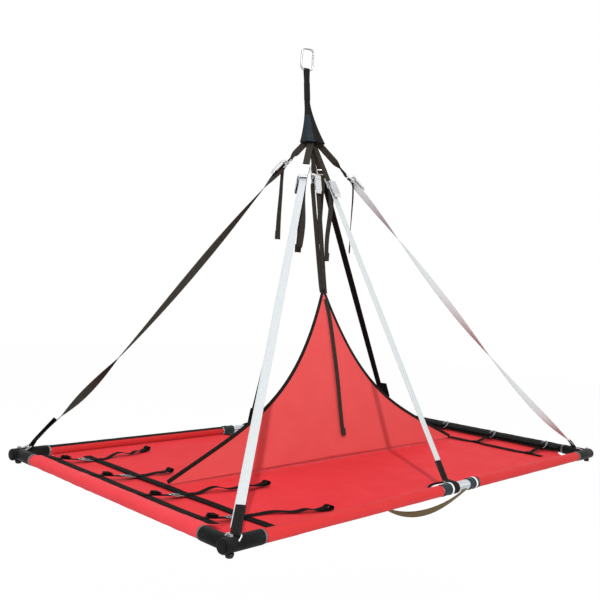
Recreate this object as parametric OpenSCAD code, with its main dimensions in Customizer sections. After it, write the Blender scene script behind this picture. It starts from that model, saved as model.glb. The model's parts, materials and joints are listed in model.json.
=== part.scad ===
// Portaledge: a hanging platform with a tube frame, a laced fabric bed and a divider panel.
// Millimetres. X runs along the bed, Y towards the wall, Z up.
// The origin is the hang point, the inside of the carabiner's top bar.

/* [Frame] */
// Length of the bed between corner centres
bed_len = 2100; // [1900:10:2300]
// Width of the bed between corner centres
bed_w = 1150; // [1050:10:1300]
// Outside diameter of the frame tubes
tube_od = 35; // [32:0.5:40]
// Wall of the frame tubes
tube_wall = 2; // [1.5:0.1:3]
// Length of a corner arm from the corner centre
arm_len = 112; // [105:1:140]
// Wall of a corner arm round its tube
arm_wall = 3; // [2.5:0.1:4]
// Half length of the open part at a mid joint
mid_half = 114; // [105:1:130]

/* [Carabiner] */
// Height over all
carab_h = 98; // [92:1:125]
// Width over all
carab_w = 62; // [58:1:80]
// Diameter of the bar
rod_d = 9; // [8.5:0.5:12]
// Turn of the carabiner from the long side of the bed
carab_yaw = -20; // [-45:1:45]

/* [Suspension] */
// Height of the carabiner's lower bar above the frame tubes
apex_z = 1585; // [1450:5:1750]
// Distance of the hang point behind the middle of the bed
apex_y = 307; // [250:1:350]
// Height of the point where the legs part, as a share of the apex height
yoke_share = 0.814; // [0.8:0.002:0.82]
// Width of the leg webbing
web_w = 28; // [24:1:30]
// Thickness of the leg webbing
web_t = 2.2; // [1.8:0.1:2.6]
// Distance of the front buckles from the yoke
front_buckle_at = 240; // [210:1:280]
// Distance of the rear and divider buckles from the yoke
rear_buckle_at = 172; // [160:1:190]
// Length of the free webbing tails
tail_len = 290; // [200:5:320]

/* [Bed] */
// Thickness of the fabric
cloth_t = 1.2; // [0.8:0.1:1.6]
// Depth of the bed fabric below the tube centres
bed_low = 12; // [8:0.5:14]
// Distance of the lacing strips from the end tubes
lacing_at = 210; // [195:1:230]
// Width of the end flaps, measured from the end tubes
flap_len = 68; // [64:1:76]
// Width of the tension straps
strap_w = 20; // [16:1:24]
// Depth that the strap under the bed hangs down
belly_depth = 180; // [120:5:220]

/* [Divider] */
// Height of the peak above the bed
peak_h = 685; // [500:5:720]
// Power of the hollow curve of its sides
peak_power = 4.6; // [3.5:0.1:6]
// Width of the edge binding
bind_w = 12; // [8:1:16]

/* [Hidden] */
$fn = 48;
// Clearance between neighbours
gap = 0.3;

// Carabiner: centre lines of the bar, and the wire gate
bar_x = (carab_w - rod_d) / 2;
bar_z = carab_h - rod_d;
bend_r = 16;
stub = 8;
nose = 18;
wire_d = 3;
hinge_z = bend_r + stub / 2;
gate_top = bar_z - bend_r - nose / 2;
wire_y = rod_d / 2 + gap + wire_d / 2;

// Where the bed frame hangs from the origin
drop = apex_z + carab_h - 1.5 * rod_d;
lean = atan2(apex_y, apex_z);
yoke_point = [0, apex_y, apex_z] * yoke_share;
yoke_floor = yoke_point.z - 50;
master_len = 155;

// Frame: radii and stops
tube_r = tube_od / 2;
arm_r = tube_r + gap + arm_wall;
tube_stop = 30;
ferrule_len = 200;
bolt_d = 8;
bail_d = 6;
bail_z = arm_r + 12.5;
bail_r = 4;
bail_half = web_w / 2 + bail_r + gap;
front_leg_x = -33;
rear_leg_x = 33;
ring_w = 8.7;
lap_len = 28;

// Bed: heights of the layers, and half of the width between the sleeves
sleeve_r = tube_r + gap + cloth_t;
panel_z = -bed_low;
panel_half = bed_w / 2 - sqrt(pow(sleeve_r, 2) - pow(bed_low - cloth_t, 2)) - gap;
flap_z = panel_z + cloth_t + gap;
strip_t = 1.6;
strip_w = 38;
lace_y = [for (i = [-1.5, -0.5, 0.5, 1.5]) i * (bed_w - 2 * arm_len - 126) / 3];
lace_tails = [315, 320, 155, 265];
ring_d = 3;
notch_r = arm_len + 8;
mid_notch_depth = 90;
hem_w = notch_r + bind_w;
belly_lap = 45;
mid_notch_r = (pow(mid_half + 10, 2) + pow(mid_notch_depth, 2)) / (2 * mid_notch_depth);

// Buckle: sizes along its width, its normal and its length
cam_r = 8;
cam_off = 1.5;
pin_d = 6;
pin_n = web_t / 2 + gap + cam_r;
plate_t = 3;
plate_top = -web_t / 2 - gap;
ear_in = web_w / 2 + 2;
ear_t = 3;
ear_out = ear_in + ear_t;
turn_l = 10;
slot_len = 2 * web_t + 2 * plate_t + 1.2;
lever_len = 72;

// Legs: webbing round a bail at a corner, or round the tube at a mid joint
bail_wrap = bail_d / 2 + gap + web_t / 2;
tube_wrap = tube_r + gap + web_t / 2;
divider_half = bed_len / 2 - lacing_at - 17;
divider_base = panel_z + cloth_t + gap + 0.2;
peak_top = [0, (peak_h + divider_base) * sin(lean), (peak_h + divider_base) * cos(lean)];

function corner(sx, sy) = [sx * bed_len / 2, sy * bed_w / 2, 0];
function corner_bar(sx, sy) = corner(sx, sy) + [0, 0, bail_z];
function mid_leg_x(sy) = sy < 0 ? front_leg_x : rear_leg_x;
function mid_bar(sy) = [mid_leg_x(sy), sy * bed_w / 2, 0];
// Room for a mid leg's loop, which stands a little askew on its tube
function skew(sy) = atan2(abs(mid_leg_x(sy)), abs(yoke_point.y - sy * bed_w / 2));
function skew_room(sy) = web_w / 2 * tan(skew(sy)) + tube_r * (1 / cos(skew(sy)) - 1);

// Each leg is its lower bar, its wrap radius and the place of its buckle.
// A mid leg runs down the inner side of its tube, so its wrap counts as negative.
function inner_side(bar, r) = let (a = asin(r / norm(bar - yoke_point)), d = unit(bar - yoke_point))
    yoke_point + (d * cos(a) - leg_out(d) * sin(a)) * norm(bar - yoke_point) * cos(a);
function mid_leg(sy, at) = let (r = tube_wrap + skew_room(sy)) [inner_side(mid_bar(sy), r), -r, at];
LEG_FL = [corner_bar(-1, -1), bail_wrap, front_buckle_at];
LEG_FM = mid_leg(-1, front_buckle_at);
LEG_FR = [corner_bar(1, -1), bail_wrap, front_buckle_at];
LEG_RL = [corner_bar(-1, 1), bail_wrap, rear_buckle_at];
LEG_RM = mid_leg(1, rear_buckle_at);
LEG_RR = [corner_bar(1, 1), bail_wrap, rear_buckle_at];
DIVIDER = [peak_top, 0, rear_buckle_at];
LEGS = [LEG_FL, LEG_FM, LEG_FR, LEG_RL, LEG_RM, LEG_RR];

function unit(v) = v / norm(v);
function leg_dir(leg) = unit(leg[0] - yoke_point);
function leg_len(leg) = norm(leg[0] - yoke_point);
function level_dir(d) = unit([d.x, d.y, 0]);
function level_part(d) = norm([d.x, d.y]);
function leg_side(d) = [level_dir(d).y, -level_dir(d).x, 0];
function leg_out(d) = level_dir(d) * -d.z + [0, 0, level_part(d)];
function leg_off(leg) = max(leg[1], 0);

// Points of an arc in a plane, from one angle to another
function arc(c, r, a, b, n) = [for (i = [0:n]) c + r * [cos(a + (b - a) * i / n), sin(a + (b - a) * i / n)]];

// Turns a plane vector by a quarter
function quarter(v) = [-v.y, v.x];
function step(p, i) = unit(p[min(i + 1, len(p) - 1)] - p[min(i, len(p) - 2)]);
function way(p, i) = unit(step(p, i) + step(p, max(i - 1, 0)));
function edge(p, i, o) = p[i] + quarter(way(p, i)) * o / (way(p, i) * step(p, i));

// A band of thickness t along a path in the plane
module ribbon(p, t) {
    n = len(p) - 1;
    polygon(concat([for (i = [0:n]) edge(p, i, t / 2)], [for (i = [n:-1:0]) edge(p, i, -t / 2)]));
}

// Places a child drawn in the bed frame under the hang point
module hung() {
    translate([0, -apex_y, -drop]) children();
}

// Places a child on a leg: X across the webbing, Y outwards, Z up the leg from the yoke point
module on_leg(leg) {
    d = leg_dir(leg);
    s = leg_side(d);
    o = leg_out(d);
    p = yoke_point + o * leg_off(leg);
    hung() multmatrix([
        [s.x, o.x, -d.x, p.x],
        [s.y, o.y, -d.y, p.y],
        [s.z, o.z, -d.z, p.z],
        [0, 0, 0, 1]
    ]) children();
}

// Extrudes a profile drawn as [outwards, up the leg] across the webbing
module across(w) {
    rotate([90, 0, 90]) translate([0, 0, -w / 2]) linear_extrude(w) children();
}

// A cylinder along X
module rod_x(d, l) {
    rotate([0, 90, 0]) cylinder(d = d, h = l, center = true);
}

// A cylinder along Y
module rod_y(d, l) {
    rotate([90, 0, 0]) cylinder(d = d, h = l, center = true);
}

// A tube along X between two places
module pipe_x(r_out, r_in, x0, x1) {
    translate([x0, 0, 0]) rotate([0, 90, 0]) difference() {
        cylinder(r = r_out, h = x1 - x0);
        translate([0, 0, -1]) cylinder(r = r_in, h = x1 - x0 + 2);
    }
}

// Carabiner and its wire gate

module on_bar() {
    translate([0, 0, -(carab_h - 1.5 * rod_d)]) rotate([0, 0, carab_yaw]) children();
}

module bend(x, z, a) {
    translate([x, 0, z]) rotate([90, 0, 0]) rotate([0, 0, a])
        rotate_extrude(angle = 90) translate([bend_r, 0]) circle(d = rod_d);
}

module upright(x, z0, z1) {
    translate([x, 0, z0]) cylinder(d = rod_d, h = z1 - z0);
}

module carabiner_body() {
    inner = bar_x - bend_r;
    color("dimgray") on_bar() difference() {
        union() {
            rod_x(rod_d, 2 * inner);
            translate([0, 0, bar_z]) rod_x(rod_d, 2 * inner);
            bend(-inner, bend_r, 180);
            bend(inner, bend_r, 270);
            bend(-inner, bar_z - bend_r, 90);
            bend(inner, bar_z - bend_r, 0);
            upright(-bar_x, bend_r, bar_z - bend_r);
            upright(bar_x, bend_r, bend_r + stub);
            upright(bar_x, bar_z - bend_r - nose, bar_z - bend_r);
        }
        translate([bar_x, 0, hinge_z]) rod_y(wire_d + 2 * gap, 2 * rod_d);
        translate([bar_x - rod_d / 2, 0, gate_top])
            cube([rod_d + wire_d + 2 * gap, 2 * rod_d, wire_d + 4 * gap], center = true);
    }
}

module carabiner_gate() {
    color("silver") on_bar() translate([bar_x, 0, 0]) {
        for (s = [-1, 1]) {
            translate([0, s * wire_y, hinge_z]) cylinder(d = wire_d, h = gate_top - hinge_z);
            translate([0, s * wire_y, hinge_z]) sphere(d = wire_d);
            translate([0, s * wire_y, gate_top]) sphere(d = wire_d);
        }
        translate([0, 0, hinge_z]) rod_y(wire_d, 2 * wire_y);
        translate([0, 0, gate_top]) rod_y(wire_d, 2 * wire_y);
    }
}

// Webbing from the carabiner to the yoke

module master_loop() {
    hole = rod_d / 2 + gap;
    outer = hole + 3;
    neck = 4.5;
    color([0.13, 0.13, 0.13]) on_bar() rotate([-lean, 0, 0]) across(web_w - 4)
        difference() {
            union() {
                circle(r = outer);
                polygon(concat(
                    [[-outer, 0], [outer, 0], [neck, -60]],
                    [[neck, -master_len], [-neck, -master_len], [-neck, -60]]
                ));
            }
            circle(r = hole);
        }
}

module yoke() {
    color([0.17, 0.2, 0.24]) hull() {
        on_bar() rotate([-lean, 0, 0]) translate([0, 0, -master_len - gap - 0.5])
            cube([web_w - 4, 9, 1], center = true);
        hung() translate(yoke_point + [0, -8, -49.5]) cube([104, 78, 1], center = true);
    }
}

// Where the upper strap of a leg starts, just under the yoke
function strap_face(leg) = (leg_off(leg) + web_t / 2) * level_part(leg_dir(leg));
function strap_start(leg) = (yoke_floor - gap - yoke_point.z - strap_face(leg)) / -leg_dir(leg).z;
function turn_z(leg) = -leg[2] + turn_l;

module upper_strap(leg) {
    turn = turn_z(leg) + slot_len;
    back = plate_top - plate_t - gap - web_t / 2;
    lap = -web_t - gap;
    on_leg(leg) across(web_w) ribbon(concat(
        [[0, strap_start(leg)]],
        arc([back / 2, turn], -back / 2, 0, -180, 12),
        [[back, turn + 8], [lap, turn + 20], [lap, turn + 32]]
    ), web_t);
}

module upper_straps() {
    color([0.14, 0.14, 0.14]) {
        for (leg = LEGS) upper_strap(leg);
        upper_strap(DIVIDER);
    }
}

// Legs

module leg_strap(leg) {
    bottom = -leg_len(leg);
    r = abs(leg[1]);
    side = sign(leg[1]);
    lap = -side * (web_t + gap);
    reach = bottom + 36 + 2 * r;
    on_leg(leg) across(web_w) ribbon(concat(
        [[0, turn_z(leg)]],
        arc([-side * r, bottom], side * r, 0, -180 * side, 16),
        [[-side * (2 * r - 0.1), bottom + 4], [lap, reach], [lap, reach + lap_len]]
    ), web_t);
}

module leg_tail(leg) {
    turn = turn_z(leg);
    back = plate_top - plate_t - gap - web_t / 2;
    end = [back, -leg[2] - 26];
    d = leg_dir(leg);
    on_leg(leg) across(web_w) ribbon(concat(
        arc([back / 2, turn + gap], -back / 2, 0, 180, 12),
        [end, end + [-level_part(d), d.z] * tail_len]
    ), web_t);
}

module leg_front_left() { color("gainsboro") leg_strap(LEG_FL); }
module leg_front_mid() { color("gainsboro") leg_strap(LEG_FM); }
module leg_front_right() { color("gainsboro") leg_strap(LEG_FR); }
module leg_rear_left() { color([0.14, 0.14, 0.14]) leg_strap(LEG_RL); }
module leg_rear_mid() { color([0.14, 0.14, 0.14]) leg_strap(LEG_RM); }
module leg_rear_right() { color([0.14, 0.14, 0.14]) leg_strap(LEG_RR); }

module leg_tails() {
    color([0.2, 0.18, 0.16]) for (leg = LEGS) leg_tail(leg);
}

// Cam buckles: frame, pin and lever

module at_pin(leg) {
    on_leg(leg) translate([0, pin_n, -leg[2]]) children();
}

module buckle_frame(leg) {
    low = plate_top - plate_t;
    top_bar = turn_l + slot_len;
    on_leg(leg) translate([0, 0, -leg[2]]) {
        difference() {
            translate([-ear_out, low, -22]) cube([2 * ear_out, plate_t, 22 + top_bar + 6]);
            translate([-ear_in, low - 1, turn_l]) cube([2 * ear_in, plate_t + 2, slot_len]);
        }
        for (s = [-1, 1]) translate([s * (ear_in + ear_t / 2), 0, 0]) difference() {
            union() {
                translate([-ear_t / 2, low, -10]) cube([ear_t, pin_n - low, 18]);
                translate([0, pin_n, 0]) rod_x(12.4, ear_t);
            }
            translate([0, pin_n, 0]) rod_x(pin_d + 2 * gap, ear_t + 2);
        }
    }
}

module buckle_frames() {
    color("silver") {
        for (leg = LEGS) buckle_frame(leg);
        buckle_frame(DIVIDER);
    }
}

module buckle_pin(leg) {
    at_pin(leg) {
        rod_x(pin_d, 2 * ear_out + 2 * gap);
        for (s = [-1, 1]) translate([s * (ear_out + gap + 1), 0, 0]) rod_x(pin_d + 3, 2);
    }
}

module buckle_pins() {
    color("dimgray") {
        for (leg = LEGS) buckle_pin(leg);
        buckle_pin(DIVIDER);
    }
}

module lever(leg) {
    w = 2 * (ear_in - 0.4);
    plate_n = 6.8;
    color("lightgray") at_pin(leg) {
        difference() {
            union() {
                translate([0, -cam_off, 0]) rod_x(2 * (cam_r - cam_off), w);
                translate([-w / 2, 0, -6]) cube([w, plate_n + 1, 12]);
            }
            rod_x(pin_d + 2 * gap, w + 2);
        }
        translate([-ear_out + 0.5, plate_n, -lever_len]) cube([2 * ear_out - 1, 2.8, lever_len + 6]);
        for (s = [-1, 1]) translate([s * (ear_out - 1.5) - 1, 2, -lever_len])
            cube([2, plate_n - 1, lever_len - 14]);
    }
}

module lever_front_left() { lever(LEG_FL); }
module lever_front_mid() { lever(LEG_FM); }
module lever_front_right() { lever(LEG_FR); }
module lever_rear_left() { lever(LEG_RL); }
module lever_rear_mid() { lever(LEG_RM); }
module lever_rear_right() { lever(LEG_RR); }
module lever_divider() { lever(DIVIDER); }

// Divider

// Height of the divider's side: half of it rises straight to the peak, half curves up near it
function side_share(w) = (w + pow(w, peak_power)) / 2;
function side_h(x) = 14 + (peak_h - 14) * side_share(max(0, 1 - abs(x) / divider_half));
divider_x = [for (i = [-30:30]) divider_half * i / 30];

// Places a profile drawn as [along the bed, up the divider]
module on_divider(t) {
    hung() rotate([90 - lean, 0, 0]) translate([0, 0, -t / 2]) linear_extrude(t)
        translate([0, divider_base]) children();
}

module divider_strap() {
    color([0.14, 0.14, 0.14]) on_leg(DIVIDER) across(web_w) ribbon([
        [0, turn_z(DIVIDER)],
        [0, gap - leg_len(DIVIDER)]
    ], web_t);
}

module divider_panel() {
    inside = [for (x = divider_x) if (side_h(x) > 2 * bind_w) x];
    color([0.9, 0.32, 0.3]) on_divider(cloth_t) polygon(concat(
        [for (x = inside) [x, side_h(x) - bind_w - gap]],
        [[inside[len(inside) - 1], 0], [inside[0], 0]]
    ));
}

module divider_binding() {
    n = len(divider_x) - 1;
    color([0.14, 0.14, 0.14]) on_divider(2 * cloth_t) polygon(concat(
        [for (x = divider_x) [x, side_h(x)]],
        [for (i = [n:-1:0]) [divider_x[i], max(0, side_h(divider_x[i]) - bind_w)]]
    ));
}

module divider_tail() {
    color([0.14, 0.14, 0.14]) hung() rotate([90 - lean, 0, 0])
        translate([25, divider_base + 81, cloth_t / 2 + gap]) cube([strap_w, peak_h * 0.68, web_t]);
}

// Frame tubes

module half_tube(sx, sy) {
    hung() translate([0, sy * bed_w / 2, 0]) {
        x0 = sx < 0 ? -bed_len / 2 + tube_stop : gap / 2;
        x1 = sx < 0 ? -gap / 2 : bed_len / 2 - tube_stop;
        pipe_x(tube_r, tube_r - tube_wall, x0, x1);
    }
}

module end_tube(sx) {
    hung() translate([sx * bed_len / 2, 0, 0]) rotate([0, 0, 90])
        pipe_x(tube_r, tube_r - tube_wall, -bed_w / 2 + tube_stop, bed_w / 2 - tube_stop);
}

module tube_front_left() { color("silver") half_tube(-1, -1); }
module tube_front_right() { color("silver") half_tube(1, -1); }
module tube_rear_left() { color("silver") half_tube(-1, 1); }
module tube_rear_right() { color("silver") half_tube(1, 1); }
module tube_end_left() { color("silver") end_tube(-1); }
module tube_end_right() { color("silver") end_tube(1); }

// Places a child on the front or rear tube
module on_long(sy) {
    hung() translate([0, sy * bed_w / 2, 0]) children();
}

module ferrules() {
    r = tube_r - tube_wall - gap;
    color("gray") for (sy = [-1, 1]) on_long(sy) pipe_x(r, r - 2.5, -ferrule_len / 2, ferrule_len / 2);
}

// Collars and rings on each side of a mid joint: the long collar is on the side of the leg
function loop_lean(sy) = (tube_wrap + skew_room(sy) + web_t) * sin(skew(sy));
function ring_x(sy) = abs(mid_leg_x(sy)) + web_w / 2 + loop_lean(sy) + (sy < 0 ? 9 : 1);

module at_mid(sy) {
    on_long(sy) mirror([mid_leg_x(sy) > 0 ? 1 : 0, 0, 0]) children();
}

module mid_collars() {
    r_in = tube_r + gap;
    color([0.17, 0.22, 0.23]) for (sy = [-1, 1]) at_mid(sy) {
        pipe_x(arm_r, r_in, -mid_half + 6, -ring_x(sy) - ring_w - gap);
        pipe_x(arm_r, r_in, mid_half - 18, mid_half - 6);
        pipe_x(arm_r, r_in, mid_half - 60, mid_half - 28);
    }
}

module mid_rings() {
    r_in = tube_r + gap;
    color("white") for (sy = [-1, 1]) at_mid(sy) {
        pipe_x(arm_r + 0.7, r_in, -ring_x(sy) - ring_w, -ring_x(sy));
        pipe_x(arm_r + 0.7, r_in, mid_half - 28 + gap, mid_half - 18 - gap);
    }
}

// Corner elbows and what sits on them

module at_corner(sx, sy) {
    hung() translate(corner(sx, sy)) mirror([sx > 0 ? 1 : 0, 0, 0]) mirror([0, sy > 0 ? 1 : 0, 0]) children();
}

cap_x = arm_r + 6;

// Angle of a bail in the corner's own frame, square to its leg
function bail_turn(leg) = -atan2(abs(leg_side(leg_dir(leg)).y), abs(leg_side(leg_dir(leg)).x));

module bail_feet(leg, d, z0, z1) {
    rotate([0, 0, bail_turn(leg)]) for (s = [-1, 1])
        translate([s * bail_half, 0, z0]) cylinder(d = d, h = z1 - z0);
}

module elbow(leg, sx, sy) {
    color([0.12, 0.12, 0.13]) at_corner(sx, sy) difference() {
        union() {
            translate([-cap_x, 0, 0]) rotate([0, 90, 0]) cylinder(r = arm_r, h = cap_x + arm_len);
            rotate([-90, 0, 0]) cylinder(r = arm_r, h = arm_len);
        }
        translate([tube_stop - gap, 0, 0]) rotate([0, 90, 0]) cylinder(r = tube_r + gap, h = arm_len);
        translate([0, tube_stop - gap, 0]) rotate([-90, 0, 0]) cylinder(r = tube_r + gap, h = arm_len);
        cylinder(d = bolt_d + 2 * gap, h = 4 * arm_r, center = true);
        bail_feet(leg, bail_d + 2 * gap, 2 - gap, 2 * arm_r);
    }
}

module elbow_front_left() { elbow(LEG_FL, -1, -1); }
module elbow_front_right() { elbow(LEG_FR, 1, -1); }
module elbow_rear_left() { elbow(LEG_RL, -1, 1); }
module elbow_rear_right() { elbow(LEG_RR, 1, 1); }

// The four corners, each with its leg
CORNERS = [[LEG_FL, -1, -1], [LEG_FR, 1, -1], [LEG_RL, -1, 1], [LEG_RR, 1, 1]];

module elbow_caps() {
    color([0.08, 0.08, 0.08]) for (c = CORNERS) at_corner(c[1], c[2])
        translate([-cap_x - gap - 5, 0, 0]) rotate([0, 90, 0]) cylinder(r = arm_r - 2, h = 5);
}

module elbow_bolts() {
    color("silver") for (c = CORNERS) at_corner(c[1], c[2]) {
        translate([0, 0, -arm_r - 6]) cylinder(d = bolt_d, h = 2 * arm_r + 7);
        translate([0, 0, arm_r + gap]) cylinder(d = bolt_d + 6, h = 6);
    }
}

module elbow_feet() {
    color([0.1, 0.1, 0.1]) for (c = CORNERS) at_corner(c[1], c[2]) difference() {
        translate([0, 0, -arm_r - gap - 12]) cylinder(d = 24, h = 12);
        translate([0, 0, -arm_r - 6 - gap]) cylinder(d = bolt_d + 2 * gap, h = 20);
    }
}

module leg_bails() {
    color("silver") for (c = CORNERS) at_corner(c[1], c[2]) {
        bail_feet(c[0], bail_d, 2, bail_z - bail_r);
        rotate([0, 0, bail_turn(c[0])]) {
            translate([0, 0, bail_z]) rod_x(bail_d, 2 * (bail_half - bail_r));
            for (s = [0, 1]) mirror([s, 0, 0]) translate([bail_half - bail_r, 0, bail_z - bail_r])
                rotate([90, 0, 0]) rotate_extrude(angle = 90) translate([bail_r, 0]) circle(d = bail_d);
        }
    }
}

// Bed fabric

module bed_outline() {
    difference() {
        square([bed_len - 2 * (sleeve_r + 5), 2 * panel_half], center = true);
        for (sx = [-1, 1], sy = [-1, 1]) translate([sx * bed_len / 2, sy * bed_w / 2]) circle(r = notch_r);
        for (sy = [-1, 1]) translate([0, sy * (bed_w / 2 - mid_notch_depth + mid_notch_r)])
            circle(r = mid_notch_r);
    }
}

module bed_panel() {
    color([0.88, 0.2, 0.23]) hung() translate([0, 0, panel_z]) linear_extrude(cloth_t)
        square([bed_len - 2 * (sleeve_r + 5), bed_w - 2 * (hem_w + gap)], center = true);
}

// Sewn hems along the long sides, with the cut-outs at the corners and the mid joints
module bed_hems() {
    color([0.85, 0.18, 0.21]) hung() translate([0, 0, panel_z]) linear_extrude(cloth_t) difference() {
        bed_outline();
        square([bed_len, bed_w - 2 * hem_w], center = true);
        square([gap, bed_w], center = true);
    }
}

module sleeves(sy) {
    x0 = mid_half;
    x1 = bed_len / 2 - arm_len - 3;
    color([0.85, 0.2, 0.22]) on_long(sy) for (s = [0, 1]) mirror([s, 0, 0])
        pipe_x(sleeve_r, tube_r + gap, x0, x1);
}

module sleeves_front() { sleeves(-1); }
module sleeves_rear() { sleeves(1); }

flap_half = bed_w / 2 - arm_len - 3;

// Places a profile drawn as [in from the end tube, up] at one end of the bed
module at_end(sx, w) {
    hung() translate([sx * bed_len / 2, 0, 0]) mirror([sx > 0 ? 1 : 0, 0, 0])
        rotate([90, 0, 0]) translate([0, 0, -w / 2]) linear_extrude(w) children();
}

// Layers above a flap's middle: strip, strap, and the strap where it runs through a ring
flap_r = tube_r + gap + cloth_t / 2;
strip_h = cloth_t / 2 + gap + strip_t / 2;
strap_h = strip_h + strip_t + gap;
over_ring = ring_d + gap + strip_t / 2;

// The straps draw a flap straight from the top of its tube towards the bed beside the inner strip
flap_aim = [lacing_at - 34, flap_z + over_ring - strap_h];
flap_leave = atan2(flap_aim.y, flap_aim.x) + acos(flap_r / norm(flap_aim));
flap_top = flap_r * [cos(flap_leave), sin(flap_leave)];
flap_up = unit(flap_top - flap_aim);
flap_foot = flap_aim + flap_up * (flap_len - flap_aim.x) / flap_up.x;

// A place on a flap's slope: how far up from its foot, and how high above its middle
function on_flap(up, h) = flap_foot + flap_up * up - quarter(flap_up) * h;

module flap(sx) {
    at_end(sx, 2 * flap_half)
        ribbon(concat(arc([0, 0], flap_r, 400, flap_leave, 36), [flap_foot]), cloth_t);
}

module flap_left() { color([0.88, 0.2, 0.23]) flap(-1); }
module flap_right() { color([0.12, 0.12, 0.12]) flap(1); }

module outer_strips() {
    color([0.13, 0.13, 0.13]) for (sx = [-1, 1]) at_end(sx, 2 * flap_half - 10)
        ribbon([on_flap(strip_w + 4, strip_h), on_flap(4, strip_h)], strip_t);
}

module inner_strips() {
    color([0.13, 0.13, 0.13]) for (sx = [-1, 1]) at_end(sx, bed_w - 120)
        translate([lacing_at - 15, flap_z]) square([30, strip_t]);
}

// Tension straps between the strips, and their rings

// At the left end the rings stand on the bed by the inner strip, at the right end by the flap
ring_rise = 12;
strap_z = flap_z + strip_t / 2;
tab_z = flap_z + strip_t + gap + strip_t / 2;
left_rings_at = lacing_at - 20;
right_rings_at = flap_len + 22;

// Height of a strap between its flap and the bed
function strap_line(at) = flap_aim.y + strap_h + (at - flap_aim.x) * flap_up.y / flap_up.x;

strap_fall = [on_flap(strip_w + 3, strap_h), on_flap(2, strap_h), [flap_aim.x, flap_aim.y + strap_h]];

module left_strap(y, tail) {
    end = lacing_at + tail;
    loop = 7;
    translate([0, y, 0]) at_end(-1, strap_w) ribbon(concat(
        strap_fall,
        [[lacing_at - 15, flap_z + over_ring], [lacing_at, tab_z], [lacing_at + 17, tab_z]],
        [[lacing_at + 45, strap_z]],
        arc([end, strap_z + loop], loop, -90, 190, 16)
    ), strip_t);
}

module right_strap(y) {
    translate([0, y, 0]) at_end(1, strap_w) ribbon(concat(
        strap_fall,
        [[lacing_at - 15, tab_z], [lacing_at + 12, tab_z]]
    ), strip_t);
}

module tension_straps_left() {
    color([0.2, 0.18, 0.17]) for (i = [0:3]) left_strap(lace_y[i], lace_tails[i]);
}

module tension_straps_right() {
    color([0.2, 0.18, 0.17]) for (y = lace_y) right_strap(y);
}

module tension_ring(sx, y, at, z) {
    w = strap_w + 4;
    hung() translate([sx * (bed_len / 2 - at), y, z + ring_rise / 2]) difference() {
        cube([ring_d, w + 2 * ring_d, ring_rise], center = true);
        cube([2 * ring_d, w, ring_rise - 2 * ring_d], center = true);
    }
}

module tension_rings() {
    under = strip_t / 2 + gap + 0.1 + ring_d;
    color("silver") for (y = lace_y, back = [0, 10]) {
        tension_ring(-1, y, left_rings_at - back, flap_z);
        tension_ring(1, y, right_rings_at - back, strap_line(right_rings_at - back + ring_d / 2) - under);
    }
}

sleeve_room = 3;

module notch_bindings() {
    color([0.13, 0.13, 0.13]) hung() translate([0, 0, flap_z]) linear_extrude(cloth_t) {
        for (sy = [-1, 1]) intersection() {
            translate([0, sy * (bed_w / 2 - mid_notch_depth + mid_notch_r)]) difference() {
                circle(r = mid_notch_r + bind_w);
                circle(r = mid_notch_r);
            }
            square([bed_len, 2 * panel_half - 2 * sleeve_room], center = true);
        }
    }
}

// Strap that sags under the bed from the front mid joint to the middle

module belly_strap() {
    y0 = -bed_w / 2;
    z1 = panel_z - gap - web_t / 2;
    r = tube_wrap + 2 * skew_room(-1) + web_t + gap;
    leave = 270 - atan2(4 * belly_depth, bed_w / 2);
    start = [y0, 0] + r * [cos(leave), sin(leave)];
    end = [-belly_lap, z1];
    curve = [for (i = [1:24]) let (t = i / 24)
        start + (end - start) * t - [0, 4 * belly_depth * t * (1 - t)]];
    color([0.43, 0.38, 0.27]) hung() translate([front_leg_x, 0, 0]) across(web_w) ribbon(concat(
        arc([y0, 0], r, 195, leave, 6),
        curve,
        [[0, z1]]
    ), web_t);
}

carabiner_body();
carabiner_gate();
master_loop();
yoke();
upper_straps();
leg_front_left();
leg_front_mid();
leg_front_right();
leg_rear_left();
leg_rear_mid();
leg_rear_right();
leg_tails();
buckle_frames();
buckle_pins();
lever_front_left();
lever_front_mid();
lever_front_right();
lever_rear_left();
lever_rear_mid();
lever_rear_right();
lever_divider();
divider_strap();
divider_panel();
divider_binding();
divider_tail();
tube_front_left();
tube_front_right();
tube_rear_left();
tube_rear_right();
tube_end_left();
tube_end_right();
ferrules();
mid_collars();
mid_rings();
elbow_front_left();
elbow_front_right();
elbow_rear_left();
elbow_rear_right();
elbow_caps();
elbow_bolts();
elbow_feet();
leg_bails();
bed_panel();
bed_hems();
sleeves_front();
sleeves_rear();
flap_left();
flap_right();
outer_strips();
inner_strips();
tension_straps_left();
tension_straps_right();
tension_rings();
notch_bindings();
belly_strap();
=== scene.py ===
"""Looks of the portaledge: cloth, webbing, buckles, tubes and fittings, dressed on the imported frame."""
import json
from functools import partial
from math import acos, asin, atan2, copysign, cos, degrees, exp, pi, radians, sin, sqrt, tan

import bmesh
import bpy
from mathutils import Matrix, Vector, noise


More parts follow.
